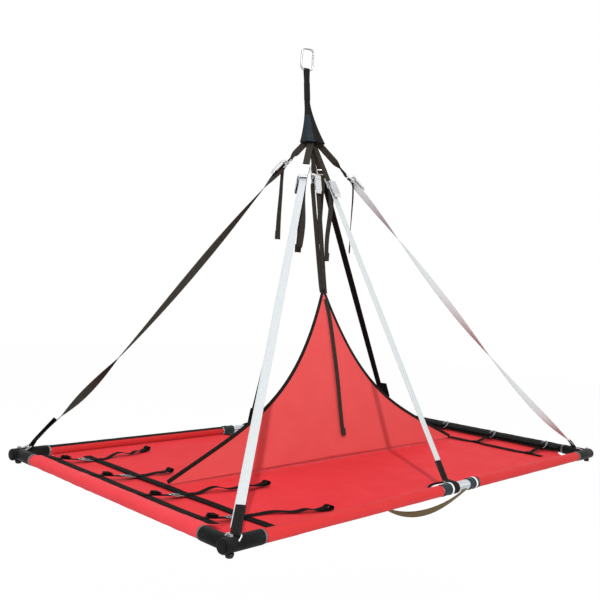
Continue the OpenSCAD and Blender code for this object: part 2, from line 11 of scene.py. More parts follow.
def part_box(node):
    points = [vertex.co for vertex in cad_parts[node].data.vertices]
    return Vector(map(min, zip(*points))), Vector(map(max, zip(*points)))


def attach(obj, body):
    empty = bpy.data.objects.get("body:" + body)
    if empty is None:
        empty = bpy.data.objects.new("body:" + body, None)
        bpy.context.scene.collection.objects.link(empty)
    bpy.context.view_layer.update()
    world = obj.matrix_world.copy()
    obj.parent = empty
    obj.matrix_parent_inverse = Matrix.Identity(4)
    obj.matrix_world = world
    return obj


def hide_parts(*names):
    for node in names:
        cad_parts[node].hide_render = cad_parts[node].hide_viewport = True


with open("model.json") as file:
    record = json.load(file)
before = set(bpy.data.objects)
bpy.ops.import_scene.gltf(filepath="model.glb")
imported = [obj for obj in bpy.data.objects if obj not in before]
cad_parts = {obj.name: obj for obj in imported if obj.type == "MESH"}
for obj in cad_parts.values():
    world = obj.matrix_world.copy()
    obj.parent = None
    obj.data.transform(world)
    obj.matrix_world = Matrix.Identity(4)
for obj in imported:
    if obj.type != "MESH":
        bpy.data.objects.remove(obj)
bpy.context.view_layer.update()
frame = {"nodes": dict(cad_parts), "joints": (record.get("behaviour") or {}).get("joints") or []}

# Places and sizes taken from the frame, in metres


def middle(node):
    low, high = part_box(node)
    return (Vector(low) + Vector(high)) / 2


def extent(node):
    low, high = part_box(node)
    return Vector(high) - Vector(low)


SWING = next(j for j in frame["joints"] if j["name"] == "ledge_swing")
BAR = Vector(SWING["pos_m"])
BAR_AXIS = Vector(SWING["axis"]).normalized()
ALONG, ACROSS, UP = Vector((1, 0, 0)), Vector((0, 1, 0)), Vector((0, 0, 1))

# Frame of tubes
TUBE_R = extent("tube_front_left").z / 2
END_X = middle("tube_end_right").x
FRONT_Y = middle("tube_front_left").y
REAR_Y = middle("tube_rear_left").y
MID_Y = (FRONT_Y + REAR_Y) / 2
TUBE_Z = middle("tube_front_left").z
HALF_W = (REAR_Y - FRONT_Y) / 2
ARM_R = extent("elbow_front_left").z / 2
ARM_LEN = END_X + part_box("elbow_front_left")[1][0]
BED_MID = Vector((0, MID_Y, TUBE_Z))
CORNERS = {"front_left": (-END_X, FRONT_Y), "front_right": (END_X, FRONT_Y),
           "rear_left": (-END_X, REAR_Y), "rear_right": (END_X, REAR_Y)}

# Bed and lacing
GAP = 0.0003
BORE = TUBE_R + GAP
CLOTH_T = extent("bed_panel").z
CLOTH_SHOWN = CLOTH_T * 0.8
PANEL_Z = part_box("bed_panel")[0][2]
FLAP_Z = PANEL_Z + CLOTH_T + GAP
STRIP_T = extent("inner_strips").z
INNER_STRIP_W = 0.030
OUTER_STRIP_W = 0.038
PANEL_HALF = extent("bed_hems").y / 2
MID_HALF = 0.114
LACING_AT = END_X - (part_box("inner_strips")[1][0] - INNER_STRIP_W / 2)
FLAP_LEN = extent("flap_left").x - TUBE_R - GAP - CLOTH_T
NOTCH_R = ARM_LEN + 0.008
MID_NOTCH_DEPTH = 0.090
MID_NOTCH_R = ((MID_HALF + 0.010) ** 2 + MID_NOTCH_DEPTH ** 2) / (2 * MID_NOTCH_DEPTH)
LACE_Y = [MID_Y + i * (2 * HALF_W - 2 * ARM_LEN - 0.126) / 3 for i in (-1.5, -0.5, 0.5, 1.5)]
# Length of each loose tail at the left end, and how far it wanders across the bed
LACE_TAILS = (0.258, 0.292, 0.118, 0.246)
LACE_DRIFTS = (-0.09, -0.045, -0.01, 0.045)

# Legs and divider
WEB_W = extent("belly_strap").x
WEB_T = 0.0022
WEB_SHOWN = WEB_T * 0.9
STRAP_W = extent("divider_tail").x
YOKE = BED_MID + (BAR - BED_MID) * 0.814
LEAN = atan2(BAR.y - MID_Y, BAR.z - TUBE_Z)
BAIL_WIRE_R = 0.003
BAIL_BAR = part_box("leg_bails")[1][2] - BAIL_WIRE_R
BAIL_WRAP = BAIL_WIRE_R + GAP + WEB_T / 2
TUBE_WRAP = TUBE_R + GAP + WEB_T / 2
FRONT_LEG_X, REAR_LEG_X = -0.033, 0.033
FRONT_BUCKLE, REAR_BUCKLE = 0.240, 0.172
TAIL_LEN = 0.290
TAIL_TURNS = (35, -20, 25, -30, 15, 60)
PEAK_H = 0.685
PEAK_POWER = 4.6
DIVIDER_HALF = extent("divider_binding").x / 2
DIVIDER_BASE = PANEL_Z - TUBE_Z + CLOTH_T + GAP + 0.0002
DIVIDER_UP = Vector((0, sin(LEAN), cos(LEAN)))
DIVIDER_OUT = Vector((0, -cos(LEAN), sin(LEAN)))


# Camera, light and stage, matched to the photograph

EYE = BED_MID + Vector((-2.326, -1.998, 0.651))
VIEW_AZIMUTH = radians(-45.91)
VIEW_ELEVATION = radians(0.828)
VIEW_ROLL = radians(3.807)
FOCAL_PIXELS = 764.3
PHOTO_PIXELS = 600
SENSOR = 36
FLOOR_DROP = 0.95
FLOOR_SEEN = 0.95
DAYLIGHT = 0.56
# Place from the middle of the bed, size and watts of each lamp
LAMPS = {
    "key": ((-5.24, -5.06, 5.29), 0.20, 500),
    "fill": ((2.6, -4.2, 2.2), 3.0, 30),
    "over": ((0.2, 1.2, 4.2), 3.0, 60),
    "under": ((-1.4, -2.4, -0.8), 2.0, 10),
}


def add_object(name, data):
    made = bpy.data.objects.new(name, data)
    bpy.context.collection.objects.link(made)
    return made


def make_camera():
    back = Vector((sin(VIEW_AZIMUTH) * cos(VIEW_ELEVATION),
                   -cos(VIEW_AZIMUTH) * cos(VIEW_ELEVATION), sin(VIEW_ELEVATION)))
    right = (-back).cross(UP).normalized()
    up = right.cross(-back)
    rolled_right = right * cos(VIEW_ROLL) + up * sin(VIEW_ROLL)
    rolled_up = -right * sin(VIEW_ROLL) + up * cos(VIEW_ROLL)
    data = bpy.data.cameras.new("photo_camera")
    data.sensor_width = SENSOR
    data.lens = FOCAL_PIXELS / PHOTO_PIXELS * SENSOR
    camera = add_object("photo_camera", data)
    turn = Matrix((rolled_right, rolled_up, back)).transposed().to_4x4()
    camera.matrix_world = Matrix.Translation(EYE) @ turn
    bpy.context.scene.camera = camera


def set_inputs(node, **values):
    """Sets inputs by name, with an underscore for each space."""
    for label, value in values.items():
        node.inputs[label.replace("_", " ")].default_value = value


def add_node(tree, kind, **values):
    node = tree.nodes.new(f"ShaderNode{kind}")
    set_inputs(node, **values)
    return node


def math_node(tree, operation, first, second=None):
    node = add_node(tree, "Math")
    node.operation = operation
    for socket, value in zip(node.inputs, (first, second)):
        if isinstance(value, (int, float)):
            socket.default_value = value
        elif value is not None:
            tree.links.new(value, socket)
    return node.outputs[0]


def make_world():
    """White to the camera and in reflections, dimmer as light."""
    world = bpy.data.worlds.new("studio")
    world.use_nodes = True
    bpy.context.scene.world = world
    tree = world.node_tree
    shade = tree.nodes["Background"]
    set_inputs(shade, Color=(1, 1, 1, 1))
    path = add_node(tree, "LightPath").outputs
    seen = math_node(tree, "MAXIMUM", path["Is Camera Ray"], path["Is Glossy Ray"])
    level = add_node(tree, "MapRange", To_Min=DAYLIGHT, To_Max=1.0)
    tree.links.new(seen, level.inputs["Value"])
    tree.links.new(level.outputs["Result"], shade.inputs["Strength"])


def make_floor():
    """A pale floor that the camera sees nearly as white as the world."""
    bm = bmesh.new()
    bmesh.ops.create_grid(bm, x_segments=1, y_segments=1, size=14)
    bmesh.ops.translate(bm, verts=bm.verts, vec=(0, MID_Y, TUBE_Z - FLOOR_DROP))
    mesh = bpy.data.meshes.new("floor")
    bm.to_mesh(mesh)
    bm.free()
    floor = add_object("floor", mesh)
    stuff = bpy.data.materials.new("pale_floor")
    stuff.use_nodes = True
    tree = stuff.node_tree
    base = tree.nodes["Principled BSDF"]
    set_inputs(base, Base_Color=(0.86, 0.86, 0.86, 1), Roughness=0.9)
    glow = add_node(tree, "Emission", Color=(1, 1, 1, 1), Strength=1.015)
    camera_ray = add_node(tree, "LightPath").outputs["Is Camera Ray"]
    blend = add_node(tree, "MixShader")
    shares = (math_node(tree, "MULTIPLY", camera_ray, FLOOR_SEEN), base.outputs[0], glow.outputs[0])
    for source, socket in zip(shares, blend.inputs):
        tree.links.new(source, socket)
    tree.links.new(blend.outputs[0], tree.nodes["Material Output"].inputs["Surface"])
    mesh.materials.append(stuff)


def make_lamps():
    aim = BED_MID + Vector((0, 0, 0.35))
    for name, (away, size, watts) in LAMPS.items():
        data = bpy.data.lights.new(name, "AREA")
        data.size = size
        data.energy = watts
        lamp = add_object(name, data)
        place = BED_MID + Vector(away)
        lamp.location = place
        lamp.rotation_euler = (aim - place).to_track_quat("-Z", "Y").to_euler()


make_camera()
bpy.context.scene.view_settings.view_transform = "Standard"
make_world()
make_floor()
make_lamps()


# Shader groups shared by the finishes

THREADS_PER_METRE = 1800.0
RIB_PITCH = 0.0016
STITCH_OFFSET = 0.0105
STITCH_PITCH = 0.004


def new_group(name, numbers, outputs):
    """A group that takes a vector and numbers and gives numbers, with its own calculator."""
    group = bpy.data.node_groups.new(name, "ShaderNodeTree")
    add_socket = group.interface.new_socket
    add_socket(name="Vector", in_out="INPUT", socket_type="NodeSocketVector")
    for label in numbers:
        add_socket(name=label, in_out="INPUT", socket_type="NodeSocketFloat")
    for label in outputs:
        add_socket(name=label, in_out="OUTPUT", socket_type="NodeSocketFloat")
    start, end = group.nodes.new("NodeGroupInput"), group.nodes.new("NodeGroupOutput")
    return group, start.outputs, end.inputs, partial(math_node, group)


def noise_node(tree, vector, scale, detail, roughness=0.55):
    node = add_node(tree, "TexNoise", Scale=scale, Detail=detail, Roughness=roughness)
    tree.links.new(vector, node.inputs["Vector"])
    return node.outputs["Fac"]


def mix_colour(tree, factor, first, second):
    node = add_node(tree, "Mix")
    node.data_type = "RGBA"
    sockets = [s for s in node.inputs if s.enabled]
    for socket, value in zip(sockets, (factor, first, second)):
        if isinstance(value, tuple):
            socket.default_value = (*value, 1)
        else:
            tree.links.new(value, socket)
    return [s for s in node.outputs if s.enabled][0]


def spread(tree, value, low, high, to_low, to_high):
    node = add_node(tree, "MapRange", From_Min=low, From_Max=high, To_Min=to_low, To_Max=to_high)
    tree.links.new(value, node.inputs["Value"])
    return node.outputs["Result"]


def split_axes(tree, vector):
    node = add_node(tree, "SeparateXYZ")
    tree.links.new(vector, node.inputs[0])
    return node.outputs


def make_weave_group():
    """Threads crossing over and under, with a thicker ripstop thread every few millimetres."""
    group, start, end, calc = new_group(
        "cloth_weave", ["Ripstop"], ["Height", "Ripstop Line", "Cloudy"])
    axes = split_axes(group, start["Vector"])
    threads, lines = [], []
    for axis in "XY":
        turns = calc("MULTIPLY", axes[axis], THREADS_PER_METRE)
        threads.append(calc("ABSOLUTE", calc("SINE", turns)))
        place = calc("FRACT", calc("MULTIPLY", axes[axis], start["Ripstop"]))
        near = calc("ABSOLUTE", calc("SUBTRACT", place, 0.5))
        lines.append(calc("GREATER_THAN", near, 0.44))
    line = calc("MAXIMUM", *lines)
    weave = calc("MULTIPLY", *threads)
    height = calc("ADD", calc("MULTIPLY", weave, 0.5), calc("MULTIPLY", line, 0.4))
    group.links.new(height, end["Height"])
    group.links.new(line, end["Ripstop Line"])
    group.links.new(noise_node(group, start["Vector"], 9.0, 4.0), end["Cloudy"])
    return group


def make_webbing_group():
    """Ribs that run along a webbing, crossed by a finer weft, with stitches near both edges."""
    group, start, end, calc = new_group("webbing_ribs", [], ["Height", "Stitch", "Fuzz"])
    axes = split_axes(group, start["Vector"])

    def ridges(axis, half_turns):
        turns = calc("MULTIPLY", calc("DIVIDE", axes[axis], RIB_PITCH), half_turns * pi)
        return calc("ABSOLUTE", calc("SINE", turns))

    ribs, weft = ridges("X", 1), ridges("Y", 1.7)
    off = calc("ABSOLUTE", calc("SUBTRACT", calc("ABSOLUTE", axes["X"]), STITCH_OFFSET))
    row = calc("LESS_THAN", off, 0.0006)
    dash = calc("LESS_THAN", calc("FRACT", calc("DIVIDE", axes["Y"], STITCH_PITCH)), 0.65)
    stitch = calc("MULTIPLY", row, dash)
    height = calc("ADD", calc("MULTIPLY", ribs, 0.6), calc("MULTIPLY", weft, 0.4))
    group.links.new(calc("ADD", height, stitch), end["Height"])
    group.links.new(stitch, end["Stitch"])
    group.links.new(noise_node(group, start["Vector"], 70.0, 5.0), end["Fuzz"])
    return group


def make_wear_group():
    """Scuffs and rubbed patches of a hard finish."""
    group, start, end, calc = new_group("handling_wear", ["Amount"], ["Scuff", "Grain"])
    broad = noise_node(group, start["Vector"], 22.0, 6.0, 0.6)
    fine = noise_node(group, start["Vector"], 260.0, 3.0, 0.6)
    patch = spread(group, calc("MULTIPLY", broad, fine), 0.2, 0.42, 0.0, 1.0)
    group.links.new(calc("MULTIPLY", patch, start["Amount"]), end["Scuff"])
    group.links.new(fine, end["Grain"])
    return group


WEAVE = make_weave_group()
RIBS = make_webbing_group()
WEAR = make_wear_group()


# Finishes


def new_finish(name, **values):
    stuff = bpy.data.materials.new(name)
    stuff.use_nodes = True
    tree = stuff.node_tree
    base = tree.nodes["Principled BSDF"]
    set_inputs(base, **values)
    return stuff, tree, base, add_node(tree, "TexCoord").outputs


def place_group(tree, group, vector, **values):
    node = add_node(tree, "Group")
    node.node_tree = group
    tree.links.new(vector, node.inputs["Vector"])
    set_inputs(node, **values)
    return node.outputs


def surface(tree, base, colour, roughness, height, strength, distance):
    """Joins the colour, the roughness and a bump to the finish."""
    bump = add_node(tree, "Bump", Strength=strength, Distance=distance)
    tree.links.new(height, bump.inputs["Height"])
    sources = {"Base Color": colour, "Roughness": roughness, "Normal": bump.outputs[0]}
    for label, source in sources.items():
        tree.links.new(source, base.inputs[label])


def cloth_finish(name, colour, deep, ripstop=170.0, sheen=0.02, rough=0.62):
    stuff, tree, base, coords = new_finish(
        name, Sheen_Weight=sheen, Sheen_Roughness=0.45, Specular_IOR_Level=0.05)
    weave = place_group(tree, WEAVE, coords["UV"], Ripstop=ripstop)
    tone = mix_colour(tree, spread(tree, weave["Cloudy"], 0.3, 0.7, 0.0, 0.32), colour, deep)
    lined = mix_colour(tree, math_node(tree, "MULTIPLY", weave["Ripstop Line"], 0.22), tone, deep)
    roughness = spread(tree, weave["Cloudy"], 0.2, 0.8, rough - 0.06, rough + 0.08)
    surface(tree, base, lined, roughness, weave["Height"], 0.25, 0.0004)
    return stuff


def webbing_finish(name, colour, fuzz, thread, relief=0.5):
    stuff, tree, base, coords = new_finish(name, Specular_IOR_Level=0.03)
    ribs = place_group(tree, RIBS, coords["UV"])
    tone = mix_colour(tree, spread(tree, ribs["Fuzz"], 0.35, 0.7, 0.0, 0.7), colour, fuzz)
    # Painted shade: the colour darkens between the ribs, where the webbing's height is low
    groove_shade_colour = tuple(c * 0.45 for c in colour)
    ribbed = mix_colour(tree, spread(tree, ribs["Height"], 0.0, 1.0, 0.35, 0.0), tone, groove_shade_colour)
    sewn = mix_colour(tree, ribs["Stitch"], ribbed, thread)
    roughness = spread(tree, ribs["Fuzz"], 0.3, 0.7, 0.62, 0.82)
    surface(tree, base, sewn, roughness, ribs["Height"], relief, 0.0005)
    return stuff


def metal_finish(name, colour, dull, rough, wear=0.6, stretch=(1, 1, 1)):
    stuff, tree, base, coords = new_finish(name, Metallic=1.0)
    mapping = add_node(tree, "Mapping", Scale=stretch)
    tree.links.new(coords["Object"], mapping.inputs["Vector"])
    marks = place_group(tree, WEAR, mapping.outputs[0], Amount=wear)
    roughness = spread(tree, marks["Grain"], 0.25, 0.75, rough - 0.07, rough + 0.12)
    scuffed = mix_colour(tree, marks["Scuff"], colour, dull)
    surface(tree, base, scuffed, roughness, marks["Grain"], 0.08, 0.0002)
    return stuff


def moulding_finish(name, colour, rubbed, rough, grain=0.25):
    stuff, tree, base, coords = new_finish(name, Specular_IOR_Level=0.06)
    marks = place_group(tree, WEAR, coords["Object"], Amount=0.7)
    roughness = spread(tree, marks["Grain"], 0.2, 0.8, rough - 0.08, rough + 0.14)
    scuffed = mix_colour(tree, marks["Scuff"], colour, rubbed)
    surface(tree, base, scuffed, roughness, marks["Grain"], grain, 0.0003)
    return stuff


BED_RED = cloth_finish("bed_red", (0.67, 0.035, 0.043), (0.57, 0.023, 0.030))
FLAP_RED = cloth_finish("flap_red", (0.72, 0.056, 0.070), (0.60, 0.036, 0.046))
SLEEVE_RED = cloth_finish("sleeve_red", (0.57, 0.035, 0.037), (0.48, 0.024, 0.026), rough=0.5)
# Painted light: the divider's cloth is lighter and pinker than the bed's, standing in for light passing
# through the thin panel
DIVIDER_RED_PAINTED_LIGHT = cloth_finish("divider_red_painted_light", (0.70, 0.090, 0.090), (0.62, 0.060, 0.062), 190.0, 0.05)
FLAP_BLACK = cloth_finish("flap_black", (0.008, 0.007, 0.0075), (0.005, 0.005, 0.005))
WEB_BLACK = webbing_finish(
    "webbing_black", (0.013, 0.0125, 0.012), (0.024, 0.022, 0.020), (0.035, 0.033, 0.031))
WEB_JET = webbing_finish(
    "webbing_jet", (0.0055, 0.005, 0.005), (0.011, 0.010, 0.010), (0.018, 0.017, 0.017))
WEB_TAIL = webbing_finish(
    "webbing_tail", (0.032, 0.028, 0.023), (0.050, 0.043, 0.035), (0.058, 0.052, 0.045))
WEB_LIGHT = webbing_finish(
    "webbing_light", (0.58, 0.61, 0.62), (0.54, 0.57, 0.58), (0.50, 0.53, 0.54), relief=0.03)
WEB_OLIVE = webbing_finish(
    "webbing_olive", (0.155, 0.118, 0.060), (0.20, 0.16, 0.09), (0.10, 0.08, 0.045))
WEB_NAVY = webbing_finish(
    "webbing_navy", (0.022, 0.031, 0.040), (0.032, 0.043, 0.052), (0.05, 0.06, 0.065))
TUBE_METAL = metal_finish(
    "tube_metal", (0.62, 0.64, 0.66), (0.42, 0.44, 0.46), 0.30, stretch=(0.15, 1, 1))
PRESSED_METAL = metal_finish("pressed_metal", (0.62, 0.63, 0.64), (0.40, 0.41, 0.42), 0.30)
WIRE_STEEL = metal_finish("wire_steel", (0.34, 0.34, 0.35), (0.22, 0.22, 0.23), 0.24, 0.4)
CARABINER_METAL = metal_finish("carabiner_metal", (0.50, 0.51, 0.53), (0.34, 0.35, 0.36), 0.24, 0.8)
ELBOW_BLACK = moulding_finish("elbow_black", (0.006, 0.0062, 0.0066), (0.022, 0.022, 0.023), 0.42)
COLLAR_SLATE = moulding_finish("collar_slate", (0.016, 0.030, 0.033), (0.05, 0.06, 0.065), 0.38)
# Painted highlight: a grey band standing for the light caught on each elbow arm's rim
RIM_HIGHLIGHT_GREY = moulding_finish("rim_painted_highlight", (0.12, 0.125, 0.13), (0.22, 0.22, 0.22), 0.4)
RING_WHITE = moulding_finish("ring_white", (0.78, 0.79, 0.79), (0.55, 0.55, 0.54), 0.35, 0.1)
FOOT_RUBBER = moulding_finish("foot_rubber", (0.014, 0.014, 0.014), (0.05, 0.05, 0.05), 0.7, 0.5)


# Making pieces


def finish_piece(name, bm, nodes, slot, *materials, body="ledge", smooth=True):
    """Turns a shape into a piece that stands for the named nodes."""
    mesh = bpy.data.meshes.new(name)
    bm.to_mesh(mesh)
    bm.free()
    for stuff in materials:
        mesh.materials.append(stuff)
    for face in mesh.polygons:
        face.use_smooth = smooth
    piece = add_object(name, mesh)
    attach(piece, body)
    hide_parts(*nodes.split())
    return piece


def thicken(piece, thickness, inner_slot=0, soften=True):
    wall = piece.modifiers.new("thickness", "SOLIDIFY")
    wall.thickness = thickness
    wall.offset = 0.0
    wall.material_offset = inner_slot
    if soften:
        edge = piece.modifiers.new("soft_edge", "BEVEL")
        edge.width = thickness * 0.3
        edge.segments = 2
        edge.limit_method = "ANGLE"
        edge.angle_limit = radians(50)


def sew(name, bm, node, finish, thickness):
    """A piece of black webbing."""
    thicken(finish_piece(name, bm, node, "black_webbing", finish), thickness)


def crisp(piece):
    piece.modifiers.new("crisp", "EDGE_SPLIT").split_angle = radians(40)


def run_lengths(path):
    """How far along the path each point lies."""
    lengths = [0.0]
    for a, b in zip(path, path[1:]):
        lengths.append(lengths[-1] + (b - a).length)
    return lengths


def even_path(points, step):
    lengths = run_lengths(points)
    count = max(2, round(lengths[-1] / step))
    result, i = [], 0
    for k in range(count + 1):
        want = lengths[-1] * k / count
        while i < len(points) - 2 and lengths[i + 1] < want:
            i += 1
        run = max(lengths[i + 1] - lengths[i], 1e-9)
        result.append(points[i].lerp(points[i + 1], min(1, (want - lengths[i]) / run)))
    return result


def smooth_path(points, step):
    """Even steps along a smooth curve through the points."""
    dense = []
    for i in range(len(points) - 1):
        before = points[max(i - 1, 0)]
        a, b = points[i], points[i + 1]
        after = points[min(i + 2, len(points) - 1)]
        for k in range(24):
            t = k / 24
            dense.append(0.5 * (2 * a + (b - before) * t
                                + (2 * before - 5 * a + 4 * b - after) * t ** 2
                                + (3 * a - before - 3 * b + after) * t ** 3))
    dense.append(points[-1])
    return even_path(dense, step)


def lay_grid(bm, columns, rows, place, slot=0):
    """A grid of cloth. place turns a spot from -0.5 to 0.5 each way into a point and its flat place."""
    made = bmesh.ops.create_grid(bm, x_segments=columns, y_segments=rows, size=0.5, calc_uvs=True)
    layer = bm.loops.layers.uv.verify()
    flat = {}
    for v in made["verts"]:
        v.co, flat[v] = place(v.co.x, v.co.y)
    faces = {f for v in made["verts"] for f in v.link_faces}
    for face in faces:
        face.material_index = slot
        for loop in face.loops:
            loop[layer].uv = flat[loop.vert]
    return made["verts"], faces


def add_band(bm, path, side, width, slot=0, lanes=4, crown=0.0, twist=None, ripple=None):
    """A band of webbing or cloth laid along a path, with side pointing across it."""
    count = len(path) - 1
    lengths = run_lengths(path)
    frames = []
    for i in range(count + 1):
        along = (path[min(i + 1, count)] - path[max(i - 1, 0)]).normalized()
        across = (side - along * side.dot(along)).normalized()
        if twist:
            across = Matrix.Rotation(twist(i / count), 3, along) @ across
        frames.append((across, across.cross(along)))

    def place(share, row):
        i = round((row + 0.5) * count)
        across, out = frames[i]
        off = share * width
        lift = crown * (1 - 4 * share * share)
        if ripple:
            lift += ripple(off, lengths[i])
        return path[i] + across * off + out * lift, (off, lengths[i])

    lay_grid(bm, lanes, count, place, slot)


def ripples(seed, size, depth):
    place = Vector((seed * 7.31, seed * 3.17, seed * 1.71))
    return lambda x, y: depth * noise.noise(Vector((x / size, y / size, 0)) + place)


def wobble(x, y, z):
    """Smooth noise at a place, from about -1 to 1."""
    return noise.noise(Vector((x, y, z)))


def edges_of(verts):
    return list({e for v in verts for e in v.link_edges})


def bridge(bm, rows):
    for a, b in zip(rows, rows[1:]):
        bmesh.ops.bridge_loops(bm, edges=a + b)


def add_wire(bm, line, radius, sides=10):
    """A closed bent wire along a line of points."""
    rings = []
    normal = (line[1] - line[0]).cross(line[2] - line[1])
    normal = normal.normalized() if normal.length > 1e-9 else UP
    for i, p in enumerate(line):
        along = (line[(i + 1) % len(line)] - line[i - 1]).normalized()
        verts = bmesh.ops.create_circle(bm, segments=sides, radius=radius)["verts"]
        spin = Matrix((along.cross(normal).normalized(), normal, along)).transposed().to_4x4()
        bmesh.ops.transform(bm, matrix=Matrix.Translation(p) @ spin, verts=verts)
        rings.append(edges_of(verts))
    bridge(bm, rings + rings[:1])


def add_block(bm, low, high, bevel, move):
    verts = bmesh.ops.create_cube(bm, size=1)["verts"]
    low, high = Vector(low), Vector(high)
    bmesh.ops.scale(bm, verts=verts, vec=high - low)
    bmesh.ops.translate(bm, verts=verts, vec=(low + high) / 2)
    done = bmesh.ops.bevel(bm, geom=edges_of(verts), offset=bevel, segments=2, profile=0.5,
                           affect="EDGES", material=-1)
    every = {v for f in done["faces"] for v in f.verts} | {v for v in verts if v.is_valid}
    bmesh.ops.transform(bm, matrix=move, verts=list(every))


def rounded(points, radius, steps):
    """A profile with its inner corners rounded."""
    points = [Vector(p) for p in points]
    result = [points[0]]
    for before, here, after in zip(points, points[1:], points[2:]):
        into, away = (before - here), (after - here)
        r = min(radius, into.length / 2.1, away.length / 2.1)
        a, b = here + into.normalized() * r, here + away.normalized() * r
        for k in range(steps + 1):
            t = k / steps
            result.append(a.lerp(here, t).lerp(here.lerp(b, t), t))
    return [*result, points[-1]]


def add_lathe(bm, points, radius, origin, axis, steps, slot=0, corner_steps=3):
    """Rounds a profile of (along, radius) points and spins it about an axis."""
    side = axis.orthogonal().normalized()
    verts = [bm.verts.new(origin + axis * a + side * r)
             for a, r in rounded(points, radius, corner_steps)]
    edges = [bm.edges.new(pair) for pair in zip(verts, verts[1:])]
    before = set(bm.faces)
    bmesh.ops.spin(bm, geom=verts + edges, cent=origin, axis=axis, angle=2 * pi, steps=steps,
                   use_merge=True)
    fresh = [f for f in bm.faces if f not in before]
    bmesh.ops.remove_doubles(bm, verts=list({v for f in fresh for v in f.verts}), dist=1e-6)
    fresh = [f for f in bm.faces if f.is_valid and f not in before]
    bmesh.ops.recalc_face_normals(bm, faces=fresh)
    for f in fresh:
        f.material_index = slot


# Legs: each runs from the yoke to a bar at the frame


class Leg:
    """A leg's own axes: across the webbing, outwards, and down the leg from the yoke."""

    def __init__(self, bar, wrap, buckle, inside=False):
        self.wrap, self.buckle, self.side = wrap, buckle, -1 if inside else 1
        run = Vector(bar) - YOKE
        self.length = run.length
        self.aim(run.normalized())
        if inside:
            turn = asin(wrap / run.length)
            self.length *= cos(turn)
            self.aim(self.down * cos(turn) - self.out * sin(turn))
        self.offset = 0.0 if inside else wrap
        self.start = YOKE + self.out * self.offset

    def aim(self, down):
        self.down = down
        level = Vector((down.x, down.y, 0))
        self.level = level.length
        level.normalize()
        self.across = Vector((level.y, -level.x, 0))
        self.out = level * -down.z + UP * self.level

    def at(self, out, up, across=0.0):
        return self.start + self.across * across + self.out * out - self.down * up

    def buckle_frame(self, out):
        turn = Matrix((self.across, self.out, -self.down)).transposed().to_4x4()
        return Matrix.Translation(self.at(out, -self.buckle)) @ turn


def corner_leg(name, buckle):
    return Leg((*CORNERS[name], BAIL_BAR), BAIL_WRAP, buckle)


def mid_leg(x, y, buckle):
    """A leg at a mid joint: it runs down the inner side of its tube and round it, a little askew."""
    skew = atan2(abs(x), abs(YOKE.y - y))
    room = WEB_W / 2 * tan(skew) + TUBE_R * (1 / cos(skew) - 1)
    return Leg((x, y, TUBE_Z), TUBE_WRAP + room, buckle, inside=True)


LEGS = {
    "front_left": corner_leg("front_left", FRONT_BUCKLE),
    "front_mid": mid_leg(FRONT_LEG_X, FRONT_Y, FRONT_BUCKLE),
    "front_right": corner_leg("front_right", FRONT_BUCKLE),
    "rear_left": corner_leg("rear_left", REAR_BUCKLE),
    "rear_mid": mid_leg(REAR_LEG_X, REAR_Y, REAR_BUCKLE),
    "rear_right": corner_leg("rear_right", REAR_BUCKLE),
}
PEAK = BED_MID + DIVIDER_UP * (PEAK_H + DIVIDER_BASE)
DIVIDER = Leg(PEAK, 0.0, REAR_BUCKLE)
HANGERS = {**LEGS, "divider": DIVIDER}

# Buckle places along a leg, as in the solids
PLATE_TOP = -WEB_T / 2 - GAP
PLATE_T = 0.003
TURN_UP = 0.010
SLOT_LEN = 2 * WEB_T + 2 * PLATE_T + 0.0012
BACK = PLATE_TOP - PLATE_T - GAP - WEB_T / 2
LAP = -WEB_T - GAP
PIN_OUT = WEB_T / 2 + GAP + 0.008
EAR_IN = WEB_W / 2 + 0.002
EAR_OUT = EAR_IN + 0.003
LEVER_LEN = 0.072

# A corner leg's sewn lap, how the leg draws its bail over, and the lap's turn
LAPS = {"front_left": 0.080, "front_right": 0.040, "rear_left": 0.125, "rear_right": 0.060}
BAIL_LEAN = {
    "front_left": Vector((0.013, 0, -0.009)), "front_right": Vector((-0.050, 0.036, -0.005)),
    "rear_left": Vector((0.040, -0.004, -0.006)), "rear_right": Vector((0.008, 0, -0.004))}
LAP_TURN = {"front_right": 12, "rear_left": 12}

# How each leg hangs: its sag, how its webbing turns over on the way down, and its lap's shift
LEG_LOOKS = {
    "front_left": (0.0, [(0, 0), (1, 0)], -0.0025),
    "front_mid": (0.0, [(0, 0), (0.5, 6), (1, 0)], 0.0025),
    "front_right": (0.046, [(0, 0), (0.04, -70), (0.21, 13), (0.42, 103), (0.62, 193),
                            (0.86, 283), (0.985, 372), (1, 372)], 0.0015),
    "rear_left": (0.044, [(0, 0), (0.03, -60), (0.10, 15), (0.36, 105), (0.69, 195),
                          (0.81, 285), (0.90, 375), (0.93, 372), (1, 372)], 0.0),
    "rear_mid": (0.0, [(0, 0), (1, 0)], 0.0),
    "rear_right": (0.0, [(0, 0), (0.45, -20), (1, 0)], 0.0),
}
REAR_MID_BOW = 0.018
MID_LAP = 0.086
# Brings the highest value of t * t * (1 - t) to one
SAG_SCALE = 6.75
# The sewn tab on the rear right leg: its heights over the foot, width and shift
TAB_SPAN, TAB_W, TAB_SHIFT = (0.188, 0.088), 0.056, 0.016
STRAP_TURNS = {"rear_left": -60, "front_right": -60}


def between(keys, t):
    """A straight run between the two keys about t."""
    for (t0, a), (t1, b) in zip(keys, keys[1:]):
        if t <= t1:
            return a + (b - a) * (t - t0) / (t1 - t0)
    return keys[-1][1]


def half_turn(leg, up, last):
    """The webbing's turn round a bar of its buckle."""
    turns = [radians(last * i / 10) for i in range(11)]
    return [leg.at(BACK / 2 + -BACK / 2 * cos(a), up + -BACK / 2 * sin(a)) for a in turns]


